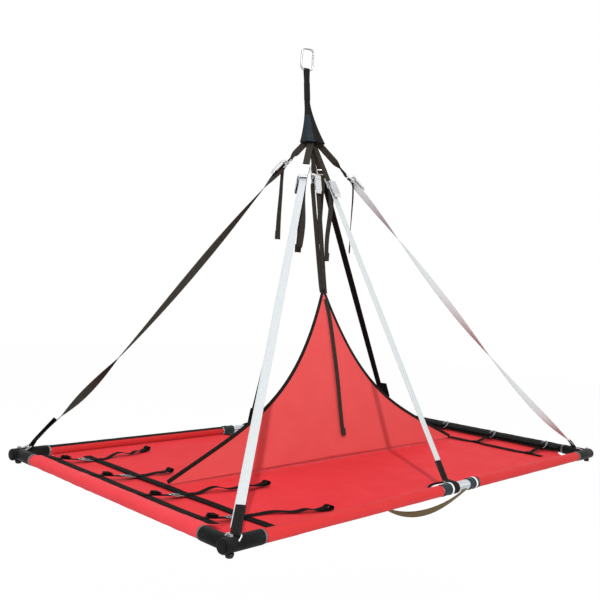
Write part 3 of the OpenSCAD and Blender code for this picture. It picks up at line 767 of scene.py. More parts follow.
def make_leg(name, leg):
    """A webbing with a black piece sewn round the bar at its foot, and a tab on the rear right one."""
    light = name.startswith("front")
    sag, turns, shift = LEG_LOOKS[name]
    top, foot = -leg.buckle + TURN_UP, -leg.length
    lap_end = foot + LAPS.get(name, MID_LAP + leg.wrap)
    reach = foot + leg.wrap + (0.016 if leg.side < 0 else 0.022)
    lean = BAIL_LEAN.get(name, Vector())
    bow = REAR_MID_BOW if name == "rear_mid" else 0.0
    run = []
    for k in range(121):
        t = k / 120
        run.append(leg.at(0, top + (foot + 0.014 - top) * t)
                   - UP * (sag * SAG_SCALE * t * t * (1 - t)) + lean * t
                   + ALONG * (bow * max(0.0, sin(pi * t)) ** 0.7))
    bm = bmesh.new()
    add_band(bm, run, leg.across, WEB_W, twist=lambda t: radians(between(turns, t)), crown=0.0003)
    lap = -leg.side * (WEB_T + GAP)
    away = Vector((leg.wrap - WEB_T - GAP, reach - foot))
    around = 1.5 * pi + atan2(away.x, away.y) - acos(leg.wrap / away.length)
    path = [leg.at(-lap, lap_end)]
    if leg.side > 0:
        path.append(leg.at(-lap, foot + 0.02))
    path += [leg.at(-leg.side * leg.wrap * (1 - cos(a)), foot - leg.wrap * sin(a))
             for a in (around * k / 20 for k in range(21))]
    path += [leg.at(lap, reach), leg.at(lap, lap_end)]
    path = [q + leg.across * shift + lean for q in even_path(path, 0.003)]
    lap_turn = radians(LAP_TURN.get(name, 0))
    add_band(bm, path, leg.across, WEB_W * 0.98, slot=1, twist=lambda t: lap_turn)
    if name == "rear_right":
        for face in (1, -1):
            tab = [leg.at(face * 0.003, foot + up, TAB_SHIFT) + lean for up in TAB_SPAN]
            add_band(bm, even_path(tab, 0.005), leg.across, TAB_W, slot=1)
    upper = WEB_LIGHT if light else WEB_TAIL if name == "rear_left" else WEB_JET
    slot = "light_webbing" if light else "black_webbing"
    thicken(finish_piece(f"leg_webbing_{name}", bm, f"leg_{name}", slot,
                         upper, WEB_BLACK if light else WEB_JET), WEB_T * 0.92)


def make_tails():
    """The legs' free ends, hanging behind their buckles with a sewn fold at the tip."""
    bm = bmesh.new()
    for i, leg in enumerate(LEGS.values()):
        path = half_turn(leg, -leg.buckle + TURN_UP + 0.0001, 180)
        path += [leg.at(BACK, -leg.buckle - 0.02)]
        low = leg.at(BACK, -leg.buckle - 0.026)
        sway = Vector((sin(2.3 * i), cos(1.7 * i), 0)) * 0.006
        for k in range(1, 7):
            path.append(low - UP * (TAIL_LEN * k / 6) + sway * sin(k * 1.1))
        turned = radians(TAIL_TURNS[i])
        add_band(bm, smooth_path(path, 0.006), leg.across, WEB_W,
                 twist=lambda t: turned * max(0, t - 0.25) ** 1.3)
        end = path[-1]
        fold = even_path([end + UP * 0.034 + leg.out * 0.0026, end + leg.out * 0.0022], 0.006)
        add_band(bm, fold, leg.across, WEB_W, twist=lambda t: turned * 0.69)
    sew("leg_webbing_tails", bm, "leg_tails", WEB_TAIL, WEB_SHOWN)


def strap_start(leg):
    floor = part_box("yoke")[0][2]
    return (floor - GAP - YOKE.z - (leg.offset + WEB_T / 2) * leg.level) / -leg.down.z


def make_upper_straps():
    bm = bmesh.new()
    for name, leg in HANGERS.items():
        turn = -leg.buckle + TURN_UP + SLOT_LEN
        path = [leg.at(0, strap_start(leg) + 0.050), *half_turn(leg, turn, -180)]
        path += [leg.at(BACK, turn + 0.008), leg.at(LAP, turn + 0.02), leg.at(LAP, turn + 0.032)]
        turned = radians(STRAP_TURNS.get(name, 0))
        add_band(bm, even_path(path, 0.004), leg.across, WEB_W,
                 twist=lambda t: turned * min(1, max(0, (0.62 - t) / 0.14)))
    sew("upper_webbing", bm, "upper_straps", WEB_TAIL, WEB_SHOWN)


def make_master_loop():
    """Webbing doubled round the carabiner's lower bar, stitched into one flat bundle below."""
    hang = (Matrix.Rotation(-LEAN, 3, BAR_AXIS) @ -UP).normalized()
    face = hang.cross(BAR_AXIS).normalized()
    length = (BAR.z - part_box("master_loop")[0][2]) - 0.002
    radius = 0.0048 + 0.0015
    loop = []
    for i in range(19):
        a = radians(-8 + 196 * i / 18)
        loop.append(BAR + face * (radius * cos(a)) - hang * (radius * sin(a)))

    def strand(out, drops):
        return [BAR + face * out + hang * d for d in drops]

    drops = (0.052, 0.08, length)
    path = strand(0.0022, reversed(drops)) + loop + strand(-0.0022, drops)
    bm = bmesh.new()
    add_band(bm, smooth_path(path, 0.004), BAR_AXIS, 0.024)
    for s in (1, -1):
        wrap = strand(s * 0.0046, (0.058, 0.075, length * 0.9))
        add_band(bm, even_path(wrap, 0.005), BAR_AXIS, 0.0235)
    sew("master_webbing", bm, "master_loop", WEB_BLACK, 0.0024)
    return BAR + hang * length


def make_yoke(top):
    """A sewn bell: the stitched bundle opens out over the seven straps, with a gusset on its left."""
    starts = [leg.at(0, strap_start(leg) + 0.034) for leg in LEGS.values()]
    low = sum(starts, Vector()) / len(starts)
    face = BAR_AXIS.cross(UP).normalized()
    bm = bmesh.new()
    rows = []
    for k in range(25):
        t = k / 24
        open_out = t ** 1.5
        verts = bmesh.ops.create_circle(bm, segments=72, radius=1)["verts"]
        for v in verts:
            away = Vector((v.co.x, v.co.y, 0))
            bundle = BAR_AXIS * (0.0125 * away.dot(BAR_AXIS)) + face * (0.0065 * away.dot(face))
            reach = max((p - low).dot(away) for p in starts) + 0.020
            pleat = 1 + 0.07 * open_out * cos(7 * atan2(away.y, away.x) + 0.6)
            v.co = top.lerp(low, t) + bundle.lerp(away * (reach * pleat), open_out)
        rows.append(edges_of(verts))
    bridge(bm, rows)
    bmesh.ops.recalc_face_normals(bm, faces=bm.faces)
    layer = bm.loops.layers.uv.verify()
    for f in bm.faces:
        place = f.calc_center_median()
        t = (top.z - place.z) / (top.z - low.z)
        axis = top.lerp(low, t)
        away = place - axis
        turn = degrees(atan2(away.y, away.x)) % 360
        f.material_index = 1 if t > 0.30 and 160 < turn < 236 else 0
        for loop in f.loops:
            off = loop.vert.co - axis
            loop[layer].uv = (atan2(off.dot(face), off.dot(BAR_AXIS)) * 0.03, loop.vert.co.z)
    piece = finish_piece("yoke_webbing", bm, "yoke", "navy_webbing", WEB_BLACK, WEB_NAVY)
    thicken(piece, WEB_SHOWN, soften=False)


for leg_name, leg in LEGS.items():
    make_leg(leg_name, leg)
make_tails()
make_upper_straps()
make_yoke(make_master_loop())


# Cam buckles


def make_buckle_frames():
    bm = bmesh.new()
    low, top = PLATE_TOP - PLATE_T, TURN_UP + SLOT_LEN + 0.006
    half = 0.0015
    boss = [(-half, 0.0033), (-half, 0.0062), (half, 0.0062), (half, 0.0033)]
    for leg in HANGERS.values():
        move = leg.buckle_frame(0)
        add_block(bm, (-EAR_OUT, low, -0.022), (EAR_OUT, PLATE_TOP, TURN_UP), 0.0008, move)
        add_block(bm, (-EAR_OUT, low, TURN_UP + SLOT_LEN), (EAR_OUT, PLATE_TOP, top), 0.0012, move)
        for s in (-1, 1):
            x0, x1 = sorted((s * EAR_IN, s * EAR_OUT))
            add_block(bm, (x0, low, -0.010), (x1, PIN_OUT, 0.008), 0.0008, move)
            add_block(bm, (x0, low, -0.022), (x1, PLATE_TOP + 0.0025, top), 0.0008, move)
            place = move @ Vector(((x0 + x1) / 2, PIN_OUT, 0))
            add_lathe(bm, boss, 0.0006, place, leg.across.normalized(), 24)
    finish_piece("buckle_plates", bm, "buckle_frames", "bare_aluminium", PRESSED_METAL, smooth=False)


def make_lever(name, leg):
    """A pressed lever with a turned-up lip, side walls, a rib and the cam under its root."""
    bm = bmesh.new()
    move = leg.buckle_frame(PIN_OUT)
    half = EAR_OUT - 0.0005
    plate, tip = 0.0068, -LEVER_LEN
    add_block(bm, (-half, plate, tip + 0.012), (half, plate + 0.0026, 0.006), 0.0011, move)
    lip = (move @ Matrix.Translation((0, plate + 0.0012, tip + 0.013))
           @ Matrix.Rotation(radians(-16), 4, "X"))
    add_block(bm, (-half + 0.002, -0.0012, -0.013), (half - 0.002, 0.0014, 0.002), 0.0011, lip)
    for s in (-1, 1):
        x0, x1 = sorted((s * (half - 0.002), s * half))
        add_block(bm, (x0, 0.0022, tip + 0.014), (x1, plate + 0.001, -0.014), 0.0007, move)
    add_block(bm, (-half + 0.004, plate + 0.0018, -0.012), (half - 0.004, plate + 0.0034, -0.009),
              0.0006, move)
    width = EAR_IN - 0.0004
    add_block(bm, (-width, 0.0005, -0.0058), (width, plate + 0.0008, 0.0058), 0.0008, move)
    cam = [(-width, 0.0034), (-width, 0.0062), (width, 0.0062), (width, 0.0034)]
    add_lathe(bm, cam, 0.0008, move @ Vector((0, -0.0012, 0)), leg.across.normalized(), 28)
    finish_piece(f"lever_pressing_{name}", bm, f"lever_{name}", "pressed_aluminium", PRESSED_METAL,
                 body=f"cam_{name}", smooth=False)


make_buckle_frames()
for leg_name, leg in HANGERS.items():
    make_lever(leg_name, leg)


# Bed cloth, its sleeves, flaps and lacing


def cutout(x):
    """Depth of the mid cut-out at a place along the bed, from the tube's middle."""
    return MID_NOTCH_DEPTH - MID_NOTCH_R + sqrt(max(0.0, MID_NOTCH_R ** 2 - x * x))


def bed_limit(x):
    """Half width of the bed at a place along it, less the corner and mid cut-outs."""
    limit = PANEL_HALF
    end = END_X - abs(x)
    if end < NOTCH_R:
        limit = min(limit, HALF_W - sqrt(NOTCH_R ** 2 - end ** 2))
    if abs(x) < MID_NOTCH_R:
        limit = min(limit, HALF_W - cutout(x))
    return limit


def bed_height(x, y):
    """Height of the cloth over the flat panel: a slight belly, pulls from the straps and creases."""
    across = 1 - (y / HALF_W) ** 2
    along = max(0.0, 1 - (x / END_X) ** 4)
    height = -0.008 * across * along
    for lace in LACE_Y:
        for end in (-1, 1):
            dx = (END_X - LACING_AT) - end * x
            if 0 < dx < 0.7:
                dy = y - (lace - MID_Y)
                wide = 0.030 + 0.16 * dx
                height += 0.0035 * exp(-(dy / wide) ** 2) * exp(-dx / 0.28) * across
    crease = wobble(x * 2.1, y * 4.3, 3.1) * 0.6 + wobble(x * 6.5, y * 9.0, 1.7) * 0.3
    height += 0.0030 * crease * min(1, across * 3)
    covered = abs(y) < 0.03 or END_X - abs(x) < LACING_AT + 0.02
    return min(height, 0.0) if covered else height


def make_bed_cloth():
    half = END_X - (BORE + CLOTH_T + 0.005)

    def place(along, across):
        x = 2 * along * half
        y = 2 * across * bed_limit(x)
        point = Vector((x, MID_Y + y, PANEL_Z + CLOTH_T / 2 + bed_height(x, y)))
        return point, (point.x, point.y)

    bm = bmesh.new()
    lay_grid(bm, 240, 96, place)
    piece = finish_piece("bed_cloth", bm, "bed_panel bed_hems", "red_bed_cloth", BED_RED)
    thicken(piece, CLOTH_SHOWN, soften=False)


def make_sleeves(name, y):
    """Two cloth tubes round a long side, slack underneath. The rear ones are black on top."""
    bm = bmesh.new()
    start, end = MID_HALF + 0.001, END_X - ARM_LEN - 0.003
    mean = BORE + CLOTH_T / 2
    for side in (-1, 1):
        path = even_path([Vector((side * start, y, TUBE_Z)), Vector((side * end, y, TUBE_Z))], 0.012)
        count = len(path) - 1

        def place(share, row):
            turn = share * 2 * pi
            x = path[round((row + 0.5) * count)].x
            pucker = 0.0005 * wobble(x * 30, cos(turn) * 1.5, sin(turn) * 1.5 + y)
            droop = 0.0010 * max(0, -cos(turn)) * (0.6 + wobble(x * 5, y, 2.0))
            r = mean + pucker + droop
            return Vector((x, y + r * sin(turn), TUBE_Z + r * cos(turn))), (x, turn * mean)

        verts, faces = lay_grid(bm, 48, count, place)
        for face in faces:
            spot = face.calc_center_median()
            if y > MID_Y and (spot.z > TUBE_Z + 0.0125 or spot.y > y):
                face.material_index = 1
        bmesh.ops.remove_doubles(bm, verts=verts, dist=1e-5)
    bmesh.ops.recalc_face_normals(bm, faces=bm.faces)
    piece = finish_piece(f"sleeve_cloth_{name}", bm, f"sleeves_{name}", "red_bed_cloth",
                         SLEEVE_RED, FLAP_BLACK)
    thicken(piece, CLOTH_SHOWN, soften=False)


def end_path(end, points):
    """Points at one end of the bed, each as its distance from the end tube and its height."""
    return [Vector((end * (END_X - a), MID_Y, TUBE_Z + b)) for a, b in points]


def at_lace(end, lace, points):
    return [q + Vector((0, lace - MID_Y, 0)) for q in end_path(end, points)]


def lace_pull(y, wide):
    """How strongly the straps pull at a place across the bed."""
    return sum(exp(-((y - lace) / wide) ** 2) for lace in LACE_Y)


# Layers above a flap's middle, and the line the straps draw it along
FLAP_R = BORE + CLOTH_T / 2
STRIP_H = CLOTH_T / 2 + GAP + STRIP_T / 2
STRAP_H = STRIP_H + STRIP_T + GAP
RING_D = 0.003
RING_WIRE_R = 0.0013
OVER_RING = FLAP_Z - TUBE_Z + RING_D + GAP + STRIP_T / 2
FLAP_AIM = Vector((LACING_AT - 0.034, OVER_RING - STRAP_H))
FLAP_LEAVE = atan2(FLAP_AIM.y, FLAP_AIM.x) + acos(FLAP_R / FLAP_AIM.length)
FLAP_TOP = FLAP_R * Vector((cos(FLAP_LEAVE), sin(FLAP_LEAVE)))
FLAP_UP = (FLAP_TOP - FLAP_AIM).normalized()
FLAP_FOOT = FLAP_AIM + FLAP_UP * ((FLAP_LEN - FLAP_AIM.x) / FLAP_UP.x)


def on_flap(up, height):
    """A place on a flap's slope: how far up from its foot, and how high above its middle."""
    return tuple(FLAP_FOOT + FLAP_UP * up + Vector((FLAP_UP.y, -FLAP_UP.x)) * height)


def make_flap(name, end, finish, slot):
    """Cloth gathered round an end tube and drawn down to the bed."""
    first = radians(400)
    turns = [first + (FLAP_LEAVE - first) * k / 40 for k in range(41)]
    points = [(FLAP_R * cos(a), FLAP_R * sin(a)) for a in turns] + [tuple(FLAP_FOOT)]
    path = even_path(end_path(end, points), 0.005)
    width = extent(f"flap_{name}").y

    def gathers(x, y):
        crease = 0.0016 * wobble(x * 3.5, y * 75, end + 4)
        gather = 0.0011 * wobble(x * 34, y * 7, end)
        return (gather * (0.5 + lace_pull(x + MID_Y, 0.07)) + crease) * min(1, y / 0.03)

    bm = bmesh.new()
    add_band(bm, path, ACROSS, width, lanes=200, ripple=gathers)
    piece = finish_piece(f"flap_cloth_{name}", bm, f"flap_{name}", slot, finish)
    thicken(piece, CLOTH_SHOWN, soften=False)


def make_outer_strips():
    """Webbing sewn along the slope of each flap, drawn down a little at each strap."""
    bm = bmesh.new()
    length = extent("outer_strips").y
    for end in (-1, 1):
        high, low = end_path(end, [on_flap(OUTER_STRIP_W + 0.004, STRIP_H), on_flap(0.004, STRIP_H)])
        fall = (low - high).normalized()
        path = []
        for k in range(91):
            y = length * (k / 90 - 0.5)
            draw = 0.0030 * lace_pull(y + MID_Y, 0.05) - 0.0015
            path.append((high + low) / 2 + Vector((0, y, 0)) + fall * draw)
        add_band(bm, path, fall, OUTER_STRIP_W, ripple=ripples(2 + end, 0.05, 0.0005))
    sew("outer_lacing_webbing", bm, "outer_strips", WEB_JET, STRIP_T)


def make_inner_strips():
    """Webbing sewn across the bed, cut short at the rear on the left and at the front on the right."""
    bm = bmesh.new()
    length = extent("inner_strips").y
    for end, rear_cut, cut in ((-1, 0.045, 0.045), (1, 0, 0.05)):
        path = []
        for k in range(91):
            y = MID_Y + length / 2 - rear_cut - (length - cut) * (1 - k / 90)
            x = END_X - LACING_AT + 0.0035 * lace_pull(y, 0.05)
            path.append(Vector((end * x, y, FLAP_Z + STRIP_T / 2)))
        add_band(bm, path, ALONG, INNER_STRIP_W, ripple=ripples(5 + end, 0.04, 0.0004))
    sew("inner_lacing_webbing", bm, "inner_strips", WEB_JET, STRIP_T)


TAB_Z = FLAP_Z + STRIP_T * 1.5 + GAP - TUBE_Z
STRAP_FALL = [on_flap(OUTER_STRIP_W + 0.003, STRAP_H), on_flap(0.002, STRAP_H),
              (FLAP_AIM.x, FLAP_AIM.y + STRAP_H)]
RIGHT_RINGS_AT = FLAP_LEN + 0.022


def add_tab(bm, end, lace):
    """The sewn end of a strap on the outer strip: thick plies, narrower towards the top."""
    for ply in range(4):
        high, cut = STRAP_H + 0.0024 + 0.0027 * ply, 0.001 * ply
        ends = at_lace(end, lace, [on_flap(-0.002 - cut, high), on_flap(-0.032 + cut, high)])
        add_band(bm, even_path(ends, 0.004), ACROSS, 0.029 - 0.0012 * ply, crown=0.0008)


def make_left_straps():
    """Straps from the outer strip through the rings, with loose tails that end in a loop."""
    bm = bmesh.new()
    flat = FLAP_Z + STRIP_T / 2 - TUBE_Z
    loop = 0.012
    for lace, tail, drift in zip(LACE_Y, LACE_TAILS, LACE_DRIFTS):
        stop = LACING_AT + tail
        points = [(LACING_AT - 0.015, OVER_RING), (LACING_AT, TAB_Z), (LACING_AT + 0.017, TAB_Z),
                  (LACING_AT + 0.045, flat + 0.0005)]
        if tail > 0.15:
            first_rise = 0.004 if drift < -0.08 else 0.012
            points += [(LACING_AT + 0.10, flat + first_rise), (LACING_AT + 0.15, flat + 0.002),
                       (LACING_AT + tail * 0.72, flat + 0.008), (stop - 0.03, flat + 0.0005)]
        else:
            points += [(LACING_AT + 0.070, flat + 0.004), (LACING_AT + 0.095, flat + 0.007)]
        points += [(stop + loop * cos(radians(a)), flat + 0.6 * loop * (1 + sin(radians(a))))
                   for a in range(-90, 181, 20)]
        points += [(stop - 0.030, flat + 0.0045), (stop - 0.045, flat + 0.003)]
        path = smooth_path(at_lace(-1, lace, STRAP_FALL + points), 0.003)
        for q in path:
            past = max(0.0, END_X - abs(q.x) - LACING_AT - 0.03) / (tail - 0.03)
            q.y += drift * past ** 1.1 + 0.006 * sin(past * 7)
        add_band(bm, path, ACROSS, STRAP_W)
        add_tab(bm, -1, lace)
    sew("tension_webbing_left", bm, "tension_straps_left", WEB_JET, STRIP_T * 0.9)


def make_right_straps():
    """Straps from the outer strip through the rings to tabs on the inner strip."""
    bm = bmesh.new()
    for lace in LACE_Y:
        points = STRAP_FALL + [(LACING_AT - 0.015, TAB_Z), (LACING_AT + 0.012, TAB_Z)]
        add_band(bm, even_path(at_lace(1, lace, points), 0.003), ACROSS, STRAP_W)
        patch = [(LACING_AT - 0.014, TAB_Z + 0.0024), (LACING_AT + 0.016, TAB_Z + 0.0024)]
        add_band(bm, even_path(at_lace(1, lace, patch), 0.004), ACROSS, STRAP_W * 1.5, crown=0.0006)
        add_tab(bm, 1, lace)
    sew("tension_webbing_right", bm, "tension_straps_right", WEB_JET, STRIP_T * 0.9)


def make_tension_rings():
    """Wire rings in pairs: a straight bar with a long bow that lies back along the strap."""
    bm = bmesh.new()
    half, rise, straight = STRAP_W / 2 + 0.0035, 0.046, 0.012
    shape = [(-half, 0), (half, 0)]
    shape += [(half * cos(radians(a)), straight + (rise - straight) * sin(radians(a)))
              for a in range(0, 181, 15)]
    fall = FLAP_UP.y / FLAP_UP.x
    under_strap = STRIP_T + RING_D / 2 + GAP
    for end, at, tilt in ((-1, LACING_AT - 0.022, 74), (1, RIGHT_RINGS_AT, 60)):
        lean = Matrix.Rotation(radians(tilt * end), 3, "Y")
        for lace in LACE_Y:
            for place in (at, at - 0.012):
                low = FLAP_Z + RING_D / 2
                if end > 0:
                    strap = TUBE_Z + FLAP_AIM.y + STRAP_H + (place - FLAP_AIM.x) * fall
                    low = strap - under_strap
                foot = Vector((end * (END_X - place), lace, low))
                add_wire(bm, [foot + lean @ Vector((0, a, b)) for a, b in shape], RING_WIRE_R)
    finish_piece("tension_ring_wires", bm, "tension_rings", "bright_steel", WIRE_STEEL)


def make_notch_bindings():
    """Black tape along the edges of the mid cut-outs."""
    bm = bmesh.new()
    reach = sqrt(MID_NOTCH_R ** 2 - (MID_NOTCH_R - MID_NOTCH_DEPTH + HALF_W - PANEL_HALF) ** 2)
    for y, inward in ((FRONT_Y, 1), (REAR_Y, -1)):
        path = []
        for k in range(61):
            x = reach * (k / 30 - 1)
            path.append(Vector((x, y + inward * (cutout(x) + 0.004), FLAP_Z + CLOTH_T / 2)))
        add_band(bm, even_path(path, 0.005), Vector((0.001, 1, 0)), 0.012)
    sew("cutout_binding", bm, "notch_bindings", WEB_JET, CLOTH_T)


make_bed_cloth()
make_sleeves("front", FRONT_Y)
make_sleeves("rear", REAR_Y)
make_flap("left", -1, FLAP_RED, "red_bed_cloth")
make_flap("right", 1, FLAP_BLACK, "black_webbing")
make_outer_strips()
make_inner_strips()
make_left_straps()
make_right_straps()
make_tension_rings()
make_notch_bindings()


# Divider


def divider_side(x):
    """Height of the panel's hollow side at a place along it."""
    share = max(0.0, 1 - abs(x) / DIVIDER_HALF)
    return 0.014 + (PEAK_H - 0.014) * (share + share ** PEAK_POWER) / 2


def divider_point(x, h, out=0.0):
    return BED_MID + Vector((x, 0, 0)) + DIVIDER_UP * (DIVIDER_BASE + h) + DIVIDER_OUT * out


def make_divider_panel():
    reach = DIVIDER_HALF * 0.985

    def place(along, high):
        x = 2 * along * reach
        top = max(0.006, divider_side(x) - 0.008)
        h = (high + 0.5) * top
        soft = min(1.0, h / 0.05) * min(1.0, (top - h) / 0.03)
        wave = 0.0035 * wobble(x * 3.2, h * 2.4, 5) + 0.0016 * wobble(x * 9, h * 7, 8)
        return divider_point(x, h, wave * soft), (x, h)

    bm = bmesh.new()
    lay_grid(bm, 160, 70, place)
    # The panel's lighter, pinker colour is painted light passing through the cloth
    piece = finish_piece("divider_cloth", bm, "divider_panel", "red_divider_cloth", DIVIDER_RED_PAINTED_LIGHT)
    thicken(piece, CLOTH_SHOWN, soften=False)


def make_divider_binding():
    bm = bmesh.new()
    places = [DIVIDER_HALF * k / 120 for k in range(-120, 121)]
    edge = [divider_point(x, divider_side(x) - 0.0062) for x in places]
    for half in (edge[:121], edge[120:]):
        for out in (0.0016, -0.0016):
            path = even_path([p + DIVIDER_OUT * out for p in half], 0.008)
            add_band(bm, path, DIVIDER_UP + Vector((0.001, 0, 0)), 0.013, lanes=2)
    sew("divider_edge_tape", bm, "divider_binding", WEB_BLACK, 0.0012)


def make_divider_straps():
    """The hanging strap, two strands from the buckle sewn over the peak, and the long loose strap."""
    bm = bmesh.new()
    buckle, peak = -REAR_BUCKLE, -DIVIDER.length
    strands = (((TURN_UP, 0.0, 0.0), (-0.030, 0.0, -0.002), (-0.075, 0.0, -0.0145)),
               ((-0.026, -0.0052, 0.004), (-0.045, -0.0030, 0.012), (-0.075, -0.0026, 0.0145)))
    for side, strand in zip((-1, 1), strands):
        path = [DIVIDER.at(out, buckle + up, across) for up, out, across in strand]
        path += [DIVIDER.at(strand[-1][1], peak + 0.02, side * 0.0095),
                 divider_point(-side * 0.0085, PEAK_H - 0.022, 0.0045)]
        add_band(bm, smooth_path(path, 0.01), DIVIDER.across, WEB_W * 0.88)
    sew("divider_hanging_webbing", bm, "divider_strap", WEB_TAIL, WEB_SHOWN)
    bm = bmesh.new()
    out = CLOTH_T / 2 + GAP + WEB_T / 2 + 0.0045
    fall = [(0.006, PEAK_H * 0.93, 0.004), (0.022, PEAK_H * 0.80, out),
            (0.036, PEAK_H * 0.5, out + 0.003), (0.042, PEAK_H * 0.25, out + 0.002),
            (0.046, 0.105, out + 0.001), (0.047, 0.083, out + 0.003),
            (0.047, 0.081, out + 0.007), (0.0465, 0.109, out + 0.006)]
    add_band(bm, smooth_path([divider_point(*p) for p in fall], 0.005), ALONG, STRAP_W)
    sew("divider_loose_webbing", bm, "divider_tail", WEB_TAIL, WEB_SHOWN)


make_divider_panel()
make_divider_binding()
make_divider_straps()


# Strap under the bed

BELLY_SAG = 0.138
BELLY_ASIDE = 0.048
BELLY_FIRST_TURN = 205


def make_belly_strap():
    """An olive strap with a black back, from the bare front tube beside the leg to the bed's middle."""
    x = middle("belly_strap").x
    leave = 270 - degrees(atan2(4 * BELLY_SAG, HALF_W))
    points = []
    for k in range(7):
        a = radians(BELLY_FIRST_TURN + (leave - BELLY_FIRST_TURN) * k / 6)
        points.append(Vector((x + BELLY_ASIDE, FRONT_Y + TUBE_WRAP * cos(a),
                              TUBE_Z + TUBE_WRAP * sin(a))))
    begin = points[-1]
    top = PANEL_Z - 0.016
    end = Vector((x + BELLY_ASIDE, MID_Y - 0.045, top))
    for k in range(1, 25):
        t = k / 24
        aside = Vector((BELLY_ASIDE * (sqrt(1 - t) - 1), 0, 0))
        points.append(begin + (end - begin) * t - UP * (4 * BELLY_SAG * t * (1 - t)) + aside)
    points.append(Vector((x, MID_Y, top + 0.003)))
    bm = bmesh.new()
    add_band(bm, even_path(points, 0.008), ALONG, WEB_W,
             twist=lambda t: 0.95 * sin(pi * min(1, t * 1.3)) ** 2)
    for face in bm.faces:
        face.normal_flip()
    piece = finish_piece("belly_webbing", bm, "belly_strap", "olive_webbing", WEB_OLIVE, WEB_BLACK)
    thicken(piece, WEB_SHOWN, inner_slot=1)


make_belly_strap()


# Tubes, elbows and fittings


def dress(finish, *nodes):
    for node in nodes:
        mesh = frame["nodes"][node].data
        mesh.materials.clear()
        mesh.materials.append(finish)


dress(TUBE_METAL, "tube_front_left", "tube_front_right", "tube_rear_left", "tube_rear_right",
      "tube_end_left", "tube_end_right", "ferrules")
dress(WIRE_STEEL, "carabiner_gate", "buckle_pins")
dress(CARABINER_METAL, "carabiner_body")


def make_elbow(name, x, y):
    """A moulded corner: two arms over the tube ends, each with a painted highlight as a grey band at its
    rim.
    """
    bm = bmesh.new()
    into_x, into_y = ALONG * -copysign(1, x), ACROSS * copysign(1, MID_Y - y)
    origin = Vector((x, y, TUBE_Z))
    stop, rim_r = 0.031, ARM_R - 0.0006
    for start, into in ((-ARM_R - 0.006, into_x), (0.001, into_y)):
        profile = [(start, 0.0), (start, ARM_R), (ARM_LEN - 0.008, ARM_R), (ARM_LEN - 0.006, rim_r),
                   (ARM_LEN, rim_r), (ARM_LEN, BORE), (stop, BORE), (stop, 0.0)]
        add_lathe(bm, profile, 0.0014, origin, into, 40, corner_steps=2)
    # Painted highlight: faces near each arm's end take the grey rim finish
    for face in bm.faces:
        along = face.calc_center_median() - origin
        if max(along.dot(into_x), along.dot(into_y)) > ARM_LEN - 0.0055:
            face.material_index = 1
    crisp(finish_piece(f"elbow_moulding_{name}", bm, f"elbow_{name}", "black_moulding",
                       ELBOW_BLACK, RIM_HIGHLIGHT_GREY))


def make_corner_fittings():
    """Caps on the elbows' ends, bolts with washers and six-sided heads, and rubber feet."""
    caps, bolts, feet = bmesh.new(), bmesh.new(), bmesh.new()
    start = ARM_R + 0.006 + GAP
    cap = [(start, 0.0), (start, ARM_R - 0.002), (start + 0.003, ARM_R - 0.002),
           (start + 0.005, ARM_R - 0.006), (start + 0.005, 0.0)]
    shank = [(-ARM_R - 0.006, 0.0), (-ARM_R - 0.006, 0.004), (ARM_R + GAP, 0.004),
             (ARM_R + GAP, 0.0085), (ARM_R + 0.0016, 0.0085), (ARM_R + 0.0016, 0.007)]
    head = [(ARM_R + 0.0016, 0.0070), (ARM_R + 0.0055, 0.0070), (ARM_R + 0.0065, 0.0058),
            (ARM_R + 0.0065, 0.0)]
    foot = [(-ARM_R - GAP, 0.0), (-ARM_R - GAP, 0.012), (-ARM_R - 0.0065, 0.012),
            (-ARM_R - 0.008, 0.0105), (-ARM_R - 0.0122, 0.0095), (-ARM_R - 0.0122, 0.0)]
    for x, y in CORNERS.values():
        origin = Vector((x, y, TUBE_Z))
        add_lathe(caps, cap, 0.0015, origin, ALONG * copysign(1, x), 36)
        add_lathe(bolts, shank, 0.0005, origin, UP, 24)
        add_lathe(bolts, head, 0.0006, origin, UP, 6)
        add_lathe(feet, foot, 0.0012, origin, UP, 32)
    finish_piece("corner_caps", caps, "elbow_caps", "black_moulding", ELBOW_BLACK)
    crisp(finish_piece("corner_bolts", bolts, "elbow_bolts", "bright_steel", WIRE_STEEL))
    finish_piece("corner_feet", feet, "elbow_feet", "black_rubber", FOOT_RUBBER)


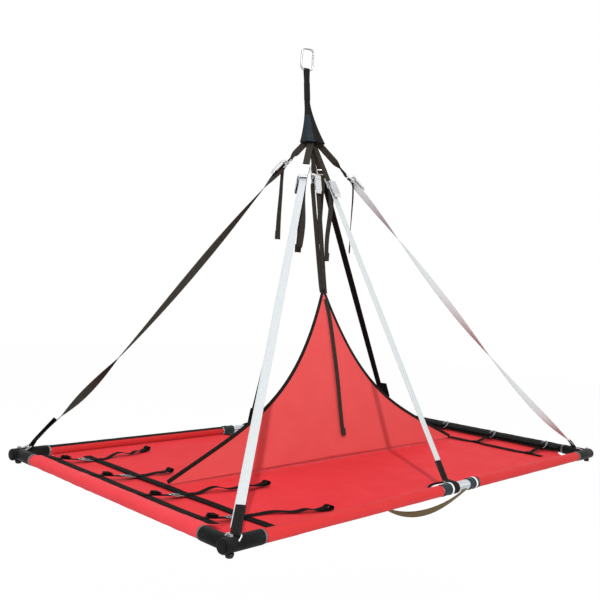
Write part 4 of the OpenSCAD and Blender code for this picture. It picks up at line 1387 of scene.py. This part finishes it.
def make_bails():
    """A bent wire over the elbow's arm at each corner, drawn over towards its leg."""
    bm = bmesh.new()
    half, bend = WEB_W / 2 + 0.006, 0.005
    for name, (x, y) in CORNERS.items():
        base = Vector((x, y, TUBE_Z + 0.006))
        rise = Vector((0, 0, BAIL_BAR - base.z)) + BAIL_LEAN[name]
        shape = []
        for s, t, first in ((1, 1, 0), (-1, 1, 90), (-1, -1, 180), (1, -1, 270)):
            for a in range(first, first + 91, 30):
                high = (rise.length - bend if t > 0 else bend) + bend * sin(radians(a))
                shape.append((s * (half - bend) + bend * cos(radians(a)), high))
        across, up = LEGS[name].across, rise.normalized()
        add_wire(bm, [base + across * a + up * b for a, b in shape], BAIL_WIRE_R)
    finish_piece("bail_wires", bm, "leg_bails", "bright_steel", WIRE_STEEL)


def make_mid_fittings():
    """Collars with raised ends and rings on both mid joints, clear of the legs' loops."""
    collars, rings = bmesh.new(), bmesh.new()
    for name, y, x, spare, ring_slot in (("front_mid", FRONT_Y, FRONT_LEG_X, 0.009, 0),
                                         ("rear_mid", REAR_Y, REAR_LEG_X, 0.001, 1)):
        origin = Vector((0, y, TUBE_Z))
        along = ALONG * -copysign(1, x)
        skew = atan2(abs(x), abs(YOKE.y - y))
        ring_at = abs(x) + WEB_W / 2 + (LEGS[name].wrap + WEB_T) * sin(skew) + spare
        for a, b in ((-MID_HALF + 0.006, -ring_at - 0.009), (MID_HALF - 0.018, MID_HALF - 0.006),
                     (MID_HALF - 0.060, MID_HALF - 0.028)):
            waist = ARM_R - 0.0008
            shape = [(a, BORE), (a, ARM_R), (a + 0.003, ARM_R), (a + 0.004, waist),
                     (b - 0.004, waist), (b - 0.003, ARM_R), (b, ARM_R), (b, BORE), (a, BORE)]
            add_lathe(collars, shape, 0.0010, origin, along, 40, corner_steps=2)
        for a, b in ((-ring_at - 0.0087, -ring_at), (MID_HALF - 0.0277, MID_HALF - 0.0183)):
            high = ARM_R + 0.0007
            shape = [(a, BORE), (a, high), (b, high), (b, BORE), (a, BORE)]
            add_lathe(rings, shape, 0.002, origin, along, 40, slot=ring_slot)
    crisp(finish_piece("joint_collars", collars, "mid_collars", "slate_collar", COLLAR_SLATE))
    finish_piece("joint_rings", rings, "mid_rings", "white_ring", RING_WHITE, COLLAR_SLATE)


for corner, (corner_x, corner_y) in CORNERS.items():
    make_elbow(corner, corner_x, corner_y)
make_corner_fittings()
make_bails()
make_mid_fittings()
